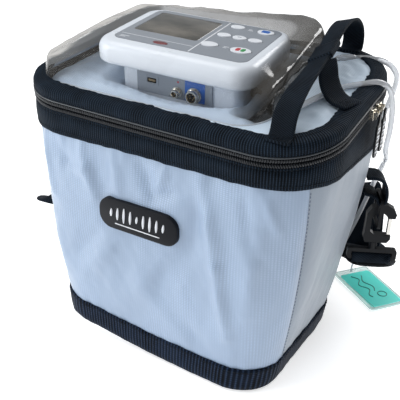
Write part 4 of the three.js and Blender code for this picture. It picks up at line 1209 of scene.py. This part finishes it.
def box_stitch(path, width, lift):
    """Stitching in a rectangle with a cross, on a stretch of webbing."""
    start, end = path[0], path[-1]
    way = unit(end - start)
    side = unit(np.cross(way, (0, 0, 1)))
    up = np.cross(side, way) * lift
    half = width / 2
    corner = [start - side * half + up, end - side * half + up, end + side * half + up,
            start + side * half + up]
    lines = [(corner[0], corner[1]), (corner[1], corner[2]), (corner[2], corner[3]), (corner[3], corner[0]),
            (corner[0], corner[2]), (corner[1], corner[3])]
    parts = []
    for a, b in lines:
        parts += stitches_parts(np.linspace(a, b, 12), 2.2, 0.9, 0.3)
    return parts


foot_parts = box_stitch(on_lid(np.array([(116.4, 5.5, HANDLE_LIFT + 1), (116.2, 12.0, HANDLE_LIFT + 1)])),
        14, 1.3)
foot_parts += box_stitch(on_lid(np.array([(137.0, 82.5, HANDLE_LIFT + 1.2),
        (146, 79.4, HANDLE_LIFT + 1.2)])), 14, 1.3)
ride(joined("handle_stitches", foot_parts, THREAD_BLACK), "lid")


# ---- CAD nodes that keep their shape -------------------------------------------------------------

def refine(node, material, bevel=0.4, segments=2, angle=38):
    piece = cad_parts[node]
    for place in piece.material_slots:
        place.material = material
    if bevel:
        edge = piece.modifiers.new("edge", "BEVEL")
        edge.width, edge.segments, edge.limit_method = bevel * MM, segments, "ANGLE"
        edge.angle_limit = math.radians(angle)
        edge.harden_normals = False
    piece.data.polygons.foreach_set("use_smooth", [True] * len(piece.data.polygons))
    piece.data.set_sharp_from_angle(angle=math.radians(angle + 4))


for side in ("right", "left"):
    refine(f"hook_{side}", BLACK_PLASTIC, 1.1, 3, 30)
    refine(f"ring_{side}", BLACK_PLASTIC, 0.7, 3, 30)
    refine(f"gate_{side}", STEEL, 0.8, 3, 30)
    refine(f"swivel_{side}", BLACK_PLASTIC, 0.8, 3, 40)
for end in ("front", "rear"):
    refine(f"zip_slider_{end}", NICKEL, 0.4, 2, 30)
    refine(f"zip_puller_{end}", BLACK_PLASTIC, 0.35, 2, 30)
refine("unit_case", WHITE, 0.8, 3, 45)
refine("unit_base", WHITE, 0.5, 2, 45)
refine("foil_liner", FOIL, 0, 0, 40)
refine("foam_cradle", FOAM, 2.5, 3, 45)
refine("battery_pack", CELLS, 1.5, 3, 40)
refine("sieve_columns", ALUMINIUM, 0.4, 2, 40)
refine("compressor", ALUMINIUM, 0.8, 2, 40)
refine("valve_manifold", BRASS, 0.5, 2, 40)
refine("fan_housing", BLACK_PLASTIC, 0.4, 2, 40)
refine("fan_rotor", BLACK_PLASTIC, 0.2, 2, 40)
refine("control_board", BOARD, 0.15, 1, 40)


# ---- Puller marks --------------------------------------------------------------------------------

for end in ("front", "rear"):
    low, high = (np.array(c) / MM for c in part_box(f"zip_puller_{end}"))
    parts = []
    for k, height in enumerate(np.linspace(high[2] - 12, low[2] + 5, 7)):
        middle = (low[1] + high[1]) / 2
        shape = [(middle - 2.7, height - 1.0), (middle + 2.7, height - 1.0 + (1.6 if k % 2 else 0)),
                (middle + 2.7, height + 0.2 + (1.6 if k % 2 else 0)),
                 (middle - 2.7, height + 0.6)]
        outward = [(high[0] - 0.1, y, z) for y, z in shape] + [(high[0] + 0.28, y, z) for y, z in shape]
        parts.append((np.array(outward), [(0, 1, 2, 3), (7, 6, 5, 4), (0, 4, 5, 1), (1, 5, 6, 2),
                (2, 6, 7, 3), (3, 7, 4, 0)]))
    ride(joined(f"zip_puller_{end}_grip", parts, MARK_WHITE, smooth=False), f"zip_puller_{end}")


# ---- Strap tabs, strap, pad ----------------------------------------------------------------------

def hardware(side, points):
    """Hardware coordinates (out of the corner, along the wall, up) to the world, for the right (1) or left (-1) side."""
    points = np.asarray(points, float)
    c, s = math.cos(HEADING), math.sin(HEADING)
    x = HARDWARE[0] + points[..., 0] * c - points[..., 1] * s
    y = HARDWARE[1] + points[..., 0] * s + points[..., 1] * c
    return np.stack([side * x, y, HARDWARE[2] + points[..., 2]], -1)


def hardware_way(side, way):
    return hardware(side, np.array([way], float))[0] - hardware(side, np.array([(0, 0, 0)], float))[0]


TAB_LOOP = [(1.0, 55), (8, 53.0), (13.0, 50.2), (14.6, 46.2), (17.5, 44.6), (20.4, 46.2), (21.6, 51),
        (21.2, 58), (19.0, 65), (14, 69.6), (8, 71), (1, 70.4)]
for side, word in ((1, "right"), (-1, "left")):
    path = hardware(side, curve([(x, 0, z) for x, z in TAB_LOOP], 60))
    ride(ribbon(f"strap_loop_{word}", path, 25, hardware_way(side, (0, 1, 0)), thickness=2.4), "bag",
            f"strap_tab_{word}")

STRAP_PAD = [(153, 92, 66), (138, 118, 60), (102, 138, 54), (55, 145, 42), (5, 145, 28), (-42, 145, 15),
        (-70, 145, 9)]
STRAP_LIFT = 8.1
STRAP_ROUTE = [
    (156.8, 69.5, 84.4), (157.6, 77, 80), (156.4, 85, 76.4),
    *[(x, y, z + STRAP_LIFT) for x, y, z in STRAP_PAD],
    (-86, 144.8, 10), (-100, 143.5, 4.8), (-122, 138, 3.4), (-165, 118, 4), (-205, 86, 12), (-236, 60, 30),
    (-243, 42, 52), (-222, 38, 70), (-190, 48, 80), (-166, 60, 83.5)]
loop_right = hardware(1,
        np.array([(HOOK_OUT, -3.4, -23), (HOOK_OUT, -3.7, -17.5), (HOOK_OUT, -1.6, -14.3),
        (HOOK_OUT, 1.6, -14.3), (HOOK_OUT, 3.4, -17.5)]))
loop_left = hardware(-1,
        np.array([(HOOK_OUT, 3.4, -17.5), (HOOK_OUT, 1.6, -14.3), (HOOK_OUT, -1.6, -14.3),
        (HOOK_OUT, -3.7, -17.5), (HOOK_OUT, -3.4, -23)]))
strap_path = curve([*loop_right, *STRAP_ROUTE[1:-1], *loop_left], 420)
strap_way = tangents(strap_path)
level = unit(np.column_stack([strap_way[:, 1], -strap_way[:, 0], 0 * strap_way[:, 0]]))
for k in range(1, len(level)):
    if level[k].dot(level[k - 1]) < 0:
        level[k] = -level[k]
share = np.linspace(0, 1, len(level))[:, None]
near = np.exp(-(share / 0.035) ** 2)
far = np.exp(-((1 - share) / 0.035) ** 2)
start_way = hardware_way(1, (1, 0, 0))
end_way_left = hardware_way(-1, (1, 0, 0))
start_way = start_way * np.sign(start_way.dot(level[20]))
end_way_left = end_way_left * np.sign(end_way_left.dot(level[-20]))
on_edge = 0.95 * np.exp(-((share - 0.875) / 0.045) ** 2)
strap_across = unit((level * (1 - on_edge) + np.array([0.0, 0.0,
        1.0]) * on_edge) * (1 - near) * (1 - far) + start_way * near + end_way_left * far)
ride(ribbon("shoulder_webbing", strap_path, STRAP_WIDTH, strap_across, thickness=2.0), "bag",
        "shoulder_strap")


def strap_slack():
    """The strap's slack behind the right corner: webbing folded up, down and up again."""
    rows = [(0, 74), (0.2, 90), (0.6, 120), (1.2, 139), (3.4, 143.5), (5.8, 139), (6.2, 118), (6.0, 92),
            (6.4, 80), (8.4, 76), (10.4, 80), (10.8, 100),
            (10.6, 121), (10.0, 131)]
    path = curve([(125.5 - 0.06 * (z - 74) + 0.7 * y, 106.8 + y, z) for y, z in rows], 110)
    return ribbon("strap_slack", path, STRAP_WIDTH, (1, 0.12, 0), thickness=2.0)


ride(strap_slack(), "bag")


def shoulder_pad():
    path = curve(STRAP_PAD, 90)
    way = tangents(path)
    across = unit(np.column_stack([way[:, 1], -way[:, 0], 0 * way[:, 0]]))
    normal = np.cross(way, across)
    normal = normal * np.sign(normal[:, 2:3])
    travelled = np.concatenate([[0], np.cumsum(np.linalg.norm(np.diff(path, axis=0), axis=1))])
    rings, cloth = [], []
    steps = np.linspace(0, 2 * np.pi, 40, endpoint=False)
    for k in range(len(path)):
        end = min(travelled[k], travelled[-1] - travelled[k])
        taper = math.sqrt(max(0.0, 1 - max(0, 1 - end / 14) ** 2))
        channel = 1 - 0.22 * math.exp(-((travelled[k] % 34 - 17) / 2.2) ** 2)
        half_wide, half_thick = 25.5 * (0.55 + 0.45 * taper), 6.6 * (0.3 + 0.7 * taper) * channel
        x = np.sign(np.cos(steps)) * np.abs(np.cos(steps)) ** 0.55 * half_wide
        y = np.sign(np.sin(steps)) * np.abs(np.sin(steps)) ** 0.75 * half_thick
        y = y * (0.8 + 0.2 * np.cos(np.pi * x / 51))
        rings.append(path[k] + across[k] * x[:, None] + normal[k] * y[:, None])
        cloth.append(np.column_stack([x, np.full(40, travelled[k])]))
    points = np.array(rings)
    faces = grid_faces(len(points), 40, wrap_cols=True)
    faces += [tuple(range(40))[::-1], tuple(range((len(points) - 1) * 40, len(points) * 40))]
    return (mesh("shoulder_padding", points.reshape(-1, 3), faces, PAD_BLACK, np.array(cloth).reshape(-1, 2)),
            path, across, normal)


padding, pad_path, pad_across, _ = shoulder_pad()
ride(padding, "bag", "shoulder_pad")
for side in (-1, 1):
    edge = pad_path[4:-4] + pad_across[4:-4] * side * 24.5
    ride(tube(f"pad_binding_{'a' if side < 0 else 'b'}", edge, 1.6, WEBBING, 8), "bag")


# ---- Luggage tag ---------------------------------------------------------------------------------

TAG_PLACE, TAG_TURN = (139.0, 146.5), math.radians(-36.9)


def on_tag(points):
    points = np.asarray(points, float)
    c, s = math.cos(TAG_TURN), math.sin(TAG_TURN)
    return np.stack([TAG_PLACE[0] + points[..., 0] * c - points[..., 1] * s,
            TAG_PLACE[1] + points[..., 0] * s + points[..., 1] * c, points[..., 2]], -1)


sleeve = puck("tag_sleeve", rounded(-40, 40, -23, 23, 5), soft_levels(0.0, 2.4, 0.9, 0.9), SLEEVE, on_tag)
ride(sleeve, "tag", "luggage_tag")
ride(puck("tag_card", rounded(-30.5, 37, -19.5, 19.5, 3), [(0.2, 2.3), (0, 2.4), (0, 2.55), (0.3, 2.65)],
        MINT, on_tag), "tag")
wave_line = [(x, -6 + 3.2 * math.sin(x / 3.4), 2.75) for x in np.linspace(-24, 20, 60)]
tag_parts = [tube_part(on_tag(wave_line), 0.55, 6),
        tube_part(on_tag([(x, 2 + 2.6 * math.sin(x / 4.1 + 1), 2.75) for x in np.linspace(-22, 10, 50)]),
        0.5, 6)]
tag_parts += [tube_part(on_tag([(18 + 5 * math.cos(a), 6 + 5 * math.sin(a), 2.75) for a in np.linspace(0,
        2 * math.pi, 40)]), 0.5, 6)]
ride(joined("tag_marks", tag_parts, MINT_DARK), "tag")
ride(tube("tag_rim",
        on_tag([(x, y, 2.3) for x, y in [*rounded(-38.6, 38.6, -21.6, 21.6, 4), (38.6, -17.6)]]), 0.6,
        SLEEVE, 6), "tag")
loop_path = curve(on_tag([(-35, -1, 1.6), (-36.5, 0, 7), (-38, 3, 16), (-39, 5, 27), (-38.5, 6, 37),
        (-37, 7, 42)]), 40)
ride(tube("tag_loop_band", loop_path, 1.2, TUBE, 10), "bag", "tag_loop")


# ---- Badge ---------------------------------------------------------------------------------------

def on_front(points):
    """(across, up, out of the wall) on the front wall, at its CAD place."""
    points = np.asarray(points, float)
    y = -(FOOT[1] + (MOUTH[1] - FOOT[1]) * points[..., 1] / WALL_TOP) / 2
    return np.stack([points[..., 0], y - points[..., 2], points[..., 1]], -1)


badge_low, badge_high = (np.array(c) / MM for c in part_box("badge"))
badge_low[2] -= 1.5
badge_high[2] += 2.5
badge_shape = rounded(badge_low[0], badge_high[0], badge_low[2], badge_high[2], 12.5, 12)
badge_base = 4.7
ride(joined("badge_plate",
        [puck_part(badge_shape, [(0, badge_base - 6), (0, badge_base + 0.8), (0.3, badge_base + 1.4),
        (1.0, badge_base + 1.8)], on_front)],
            BADGE_BLACK, angle=40), "bag", "badge")
badge_mid = ((badge_low[0] + badge_high[0]) / 2, (badge_low[2] + badge_high[2]) / 2)
badge_parts = []
for k in range(9):
    x = badge_mid[0] - 28 + 7.0 * k
    tall = (4.0, 6.0, 7.4, 6.4, 3.4, 6.4, 7.4, 6.0, 4.0)[k]
    badge_parts.append(tube_part(on_front([(x + t * 0.5, badge_mid[1] + 1.6 + t * tall,
            badge_base + 1.85) for t in np.linspace(-1, 1, 12)]),
                                 0.4 + 0.9 * np.sin(np.linspace(0.15, math.pi - 0.15, 12)), 8))
badge_parts.append(tube_part(on_front([(x, badge_mid[1] - 8.6,
        badge_base + 1.85) for x in np.linspace(badge_mid[0] - 24, badge_mid[0] + 24, 30)]), 0.55, 8))
ride(joined("badge_marks", badge_parts, MARK_WHITE), "bag")


# ---- The unit ------------------------------------------------------------------------------------

COVER = (-78.0, 75.0, -58.0, 48.0)
COVER_TOP = -0.15
FASCIA = (-65.0, 64.0, -43.0, 43.0, 9.0)
SCREEN_EDGE = (-59.0, 6.0, -17.0, 37.0)
KEYS = [("key_power", 49, -19, 9.5, 6.5), ("key_enter", 19, -18, 8, 5.5), ("key_left", 20, 9, 6.5, 4.5),
        ("key_centre", 35, 9, 6.5, 4.5),
        ("key_right", 50, 9, 6.5, 4.5), ("key_up", 22, 34, 7, 4.5), ("key_alarm_silence", 50, 33, 8, 5.5)]


def unit_cover():
    def ring(t, z, corner=20.0):
        left, right, low, high = COVER
        shape = rounded(left + 8 * t, right - 6.5 * t, low + 9 * t, high - 4.0 * t, max(3, corner - 8 * t),
                12)
        return np.column_stack([shape, np.full(len(shape), z)])

    rows = [ring(0.55, -20.7)]
    rows += [ring(0.55 * (1 - math.sin(a)), -16.5 - 4.2 * math.cos(a)) for a in np.linspace(0.3,
            math.pi / 2, 6)]
    rows += [ring(0, -12.5)]
    rows += [ring(1 - math.cos(a), COVER_TOP - 9.5 * (1 - math.sin(a))) for a in np.linspace(0.0,
            math.pi / 2, 9)]
    left, right, low, high, corner = FASCIA
    lip = rounded(left - 0.4, right + 0.4, low - 0.4, high + 0.4, corner, 12)
    rows += [np.column_stack([lip, np.full(len(lip), z)]) for z in (COVER_TOP, COVER_TOP - 0.4, -2.6)]
    points = np.array(rows)
    count, size = points.shape[:2]
    faces = grid_faces(count, size, wrap_cols=True)
    faces += [tuple(range(size))[::-1], tuple(range((count - 1) * size, count * size))]
    return mesh("unit_cover", to_unit(points.reshape(-1, 3)), faces, WHITE, angle=35)


ride(unit_cover(), "bag", "unit_top_cover")


def holed_plate(name, outer, holes, bottom, top, material, place=to_unit):
    """A flat plate with holes, from outlines in its plane."""
    data = bpy.data.curves.new(name, "CURVE")
    data.dimensions, data.fill_mode = "2D", "BOTH"
    data.extrude = (top - bottom) / 2 * MM
    for shape in (outer, *holes):
        line = data.splines.new("POLY")
        line.points.add(len(shape) - 1)
        for point, (x, y) in zip(line.points, shape):
            point.co = (x * MM, y * MM, 0, 1)
        line.use_cyclic_u = True
    made = bpy.data.objects.new(name + "_curve", data)
    bpy.context.scene.collection.objects.link(made)
    bpy.context.view_layer.update()
    flat = bpy.data.meshes.new_from_object(made.evaluated_get(bpy.context.evaluated_depsgraph_get()))
    bpy.data.objects.remove(made)
    welded = bmesh.new()
    welded.from_mesh(flat)
    bmesh.ops.remove_doubles(welded, verts=welded.verts, dist=1e-6)
    welded.to_mesh(flat)
    welded.free()
    vertices = np.array([v.co for v in flat.vertices]) / MM
    vertices[:, 2] += (top + bottom) / 2
    return mesh(name, place(vertices), [tuple(f.vertices) for f in flat.polygons], material, smooth=False)


key_holes = [oval(x, y, rx + 0.5, ry + 0.5, 36) for _, x, y, rx, ry in KEYS]
screen_shape = rounded(*SCREEN_EDGE, 3.5)
ride(holed_plate("control_fascia", rounded(*FASCIA), [*key_holes, screen_shape], -0.9, 0.0, FASCIA_GREY),
        "bag", "fascia_overlay")
ride(puck("screen_pane", rounded(*[a + b for a, b in zip(SCREEN_EDGE, (0.3, -0.3, 0.3, -0.3))], 3.2),
        [(0, -2.3), (0, -0.45), (0.3, -0.15)], SCREEN),
     "bag", "display")
ride(puck("divider_line", rounded(10.4, 11.6, -42.2, 41.5, 0.5), [(0, -0.02), (0, 0.10), (0.1, 0.16)],
        MARK_WHITE), "bag")
ride(puck("front_line", rounded(-62, 9, -30.2, -29.6, 0.25), [(0, -0.02), (0, 0.08)], MARK_WHITE), "bag")
ride(puck("indicator_lamp", oval(-19, -36.5, 7.2, 3.4), [(0, -0.05), (0, 0.2), (0.6, 0.55), (2, 0.7)], RED),
        "bag")

for key, x, y, radius_x, radius_y in KEYS:
    levels = [(0.2, -1.1), (0, -0.9), (0, 0.35)] + [(1.6 * (1 - math.cos(a)),
            0.35 + 0.55 * math.sin(a)) for a in np.linspace(0.3, math.pi / 2, 5)]
    ride(puck(f"{key}_cap", oval(x, y, radius_x, radius_y), levels, KEY_WHITE), key, key)
ride(puck("key_power_on", rounded(44.6, 48.4, -22.4, -15.6, 1.6), [(0, 0.8), (0, 0.98), (0.2, 1.02)],
        MARK_RED), "key_power")
ride(puck("key_power_off", rounded(49.4, 53.2, -22.4, -15.6, 1.6), [(0, 0.8), (0, 0.98), (0.2, 1.02)],
        MARK_GREEN), "key_power")
ride(puck("key_alarm_mark", rounded(46.2, 53.8, 30.0, 36.0, 0.6), [(0, 0.8), (0, 0.98), (0.2, 1.02)],
        MARK_BLUE), "key_alarm_silence")
ride(puck("key_centre_mark", rounded(33.0, 37.0, 8.3, 9.7, 0.6), [(0, 0.8), (0, 0.96), (0.1, 1.0)], GREY),
        "key_centre")
mark_parts = [puck_part(rounded(x, x + w, y, y + 0.9, 0.4), [(0, -0.02), (0, 0.07)], to_unit)
              for x, y, w in ((32, -17, 5), (32, -19.4, 3.6), (33, 31, 5), (33, 33.4, 3.6), (-60, -36, 9),
              (-60, -38.4, 6))]
ride(joined("fascia_ticks", mark_parts, MARK_WHITE, smooth=False), "bag")


def on_ports(points):
    """(across, up, out) on the port plate, in the unit's frame, to the world."""
    points = np.asarray(points, float)
    return to_unit(np.stack([points[..., 0], -45.35 - points[..., 2], points[..., 1]], -1))


refine("port_plate", GREY, 0.15, 1, 40)
ride(puck("blue_marker", rounded(10.2, 29.6, -43.4, -24.4, 0.8), [(0, -0.1), (0, 0.12), (0.1, 0.18)],
        MARK_BLUE, on_ports), "bag")
ride(puck("port_dot", oval(3.4, -28.2, 0.9, 0.9, 16), [(0, -0.1), (0, 0.15), (0.3, 0.25)], MARK_RED,
        on_ports), "bag")
ride(holed_plate("data_port_frame", rounded(-29.6, -16.4, -36.2, -27.8, 1.0),
        [rounded(-27.8, -18.2, -34.4, -29.6, 0.6)], -0.1, 0.35, GREY, on_ports), "bag")
ride(puck("data_port_tongue", rounded(-26.4, -19.6, -32.9, -31.2, 0.3), [(0, -0.9), (0, -0.1)], GOLD_PIN,
        on_ports), "bag")
ride(puck("data_port_dark", rounded(-27.8, -18.2, -34.4, -29.6, 0.5), [(0, -0.6), (0, -0.45)],
        BLACK_PLASTIC, on_ports), "bag")
for label, x, z, radius in (("small", 2.6, -37.5, 3.85), ("large", 19.4, -37.0, 5.85)):
    centre = on_ports([(x, z, 0)])[0]
    outward = on_ports([(x, z, 1)])[0] - centre
    shell = [(radius - 0.5, -1), (radius + 1.1, -0.6), (radius + 1.3, 0.4), (radius + 1.1, 1.2),
            (radius - 0.2, 1.4), (radius - 0.4, 2.2), (radius, 2.5),
             (radius, 3.1), (radius - 0.4, 3.4), (radius - 0.4, 3.9), (radius, 4.2), (radius, 5.6),
             (radius - 0.5, 6.6), (radius - 1.3, 6.7), (radius - 1.6, 6.1),
             (radius - 1.7, 2.2)]
    ride(joined(f"socket_{label}_shell", [lathe_part(shell, centre, outward, 36)], NICKEL, angle=40), "bag",
            f"connector_{label}")
    insert = [(radius - 1.8, 1.6), (radius - 1.8, 3.6), (radius - 2.2, 4.0)]
    ride(joined(f"socket_{label}_insert", [lathe_part(insert, centre, outward, 24)], BLACK_PLASTIC,
            angle=40), "bag")
    pins = []
    for k in range(5 if label == "large" else 3):
        angle = 2 * math.pi * k / (5 if label == "large" else 3)
        place = on_ports([(x + (radius - 3.0) * math.cos(angle) * 0.8,
                z + (radius - 3.0) * math.sin(angle) * 0.8, 4.0)])[0]
        pins.append(lathe_part([(0.42, -0.6), (0.42, 0.9), (0.2, 1.2)], place, outward, 10))
    ride(joined(f"socket_{label}_pins", pins, GOLD_PIN), "bag")

outlet_centre = to_unit([(62, -18, -34)])[0]
outlet_way = to_unit([(63, -18, -34)])[0] - outlet_centre
barb = [(5, 0.2), (5.2, 0.6), (5.2, 1.9), (4.6, 2.3), (2.6, 2.5), (2.3, 3.5), (3.1, 4.0), (2.3, 5.4),
        (3.0, 5.9), (2.2, 7.3), (1.9, 8.0), (1.2, 8.1)]
ride(joined("outlet_nozzle", [lathe_part(barb, outlet_centre, outlet_way, 28)], BLACK_PLASTIC, angle=45),
        "bag", "outlet_barb")


# ---- Floor and light -----------------------------------------------------------------------------

def add_floor():
    data = bpy.data.meshes.new("floor")
    size, count = 3.0, 9
    steps = np.linspace(-size, size, count)
    data.from_pydata([(x, y, -0.0006) for y in steps for x in steps], [], grid_faces(count, count))
    look = Look("floor", (0.9, 0.905, 0.915), 0.6)
    look.link(look.mix(look.noise(3.0), (0.89, 0.895, 0.905), (0.91, 0.915, 0.925)), "Base Color")
    look.shader.inputs["Emission Color"].default_value = (1, 1, 1, 1)
    look.shader.inputs["Emission Strength"].default_value = 0.6
    data.materials.append(look.material)
    floor = bpy.data.objects.new("floor", data)
    bpy.context.scene.collection.objects.link(floor)


def add_light(name, place, target, size, power, color=(1, 1, 1)):
    data = bpy.data.lights.new(name, "AREA")
    data.shape, data.size, data.energy, data.color = "SQUARE", size, power, color
    light = bpy.data.objects.new(name, data)
    light.location = place
    light.rotation_euler = (Vector(target) - Vector(place)).to_track_quat("-Z", "Y").to_euler()
    bpy.context.scene.collection.objects.link(light)


add_floor()
add_light("overhead", (-0.5, -0.3, 1.9), (0, 0, 0.1), 1.2, 16)
add_light("front_fill", (-1.5, -1.3, 0.8), (0, 0, 0.12), 1.1, 21, (0.95, 0.98, 1.0))
add_light("back_rim", (0.6, 1.4, 1.2), (0.1, 0.1, 0.1), 0.9, 15)
world = bpy.data.worlds.new("studio")
world.use_nodes = True
world.node_tree.nodes["Background"].inputs[0].default_value = (0.96, 0.98, 1.0, 1)
world.node_tree.nodes["Background"].inputs[1].default_value = 0.34
seen = world.node_tree.nodes.new("ShaderNodeLightPath")
bright = world.node_tree.nodes.new("ShaderNodeMath")
bright.operation = "MULTIPLY_ADD"
bright.inputs[1].default_value, bright.inputs[2].default_value = 0.62, 0.34
world.node_tree.links.new(seen.outputs["Is Camera Ray"], bright.inputs[0])
world.node_tree.links.new(bright.outputs[0], world.node_tree.nodes["Background"].inputs[1])
bpy.context.scene.world = world
bpy.context.scene.view_settings.view_transform = "Standard"
bpy.context.scene.view_settings.look = "None"
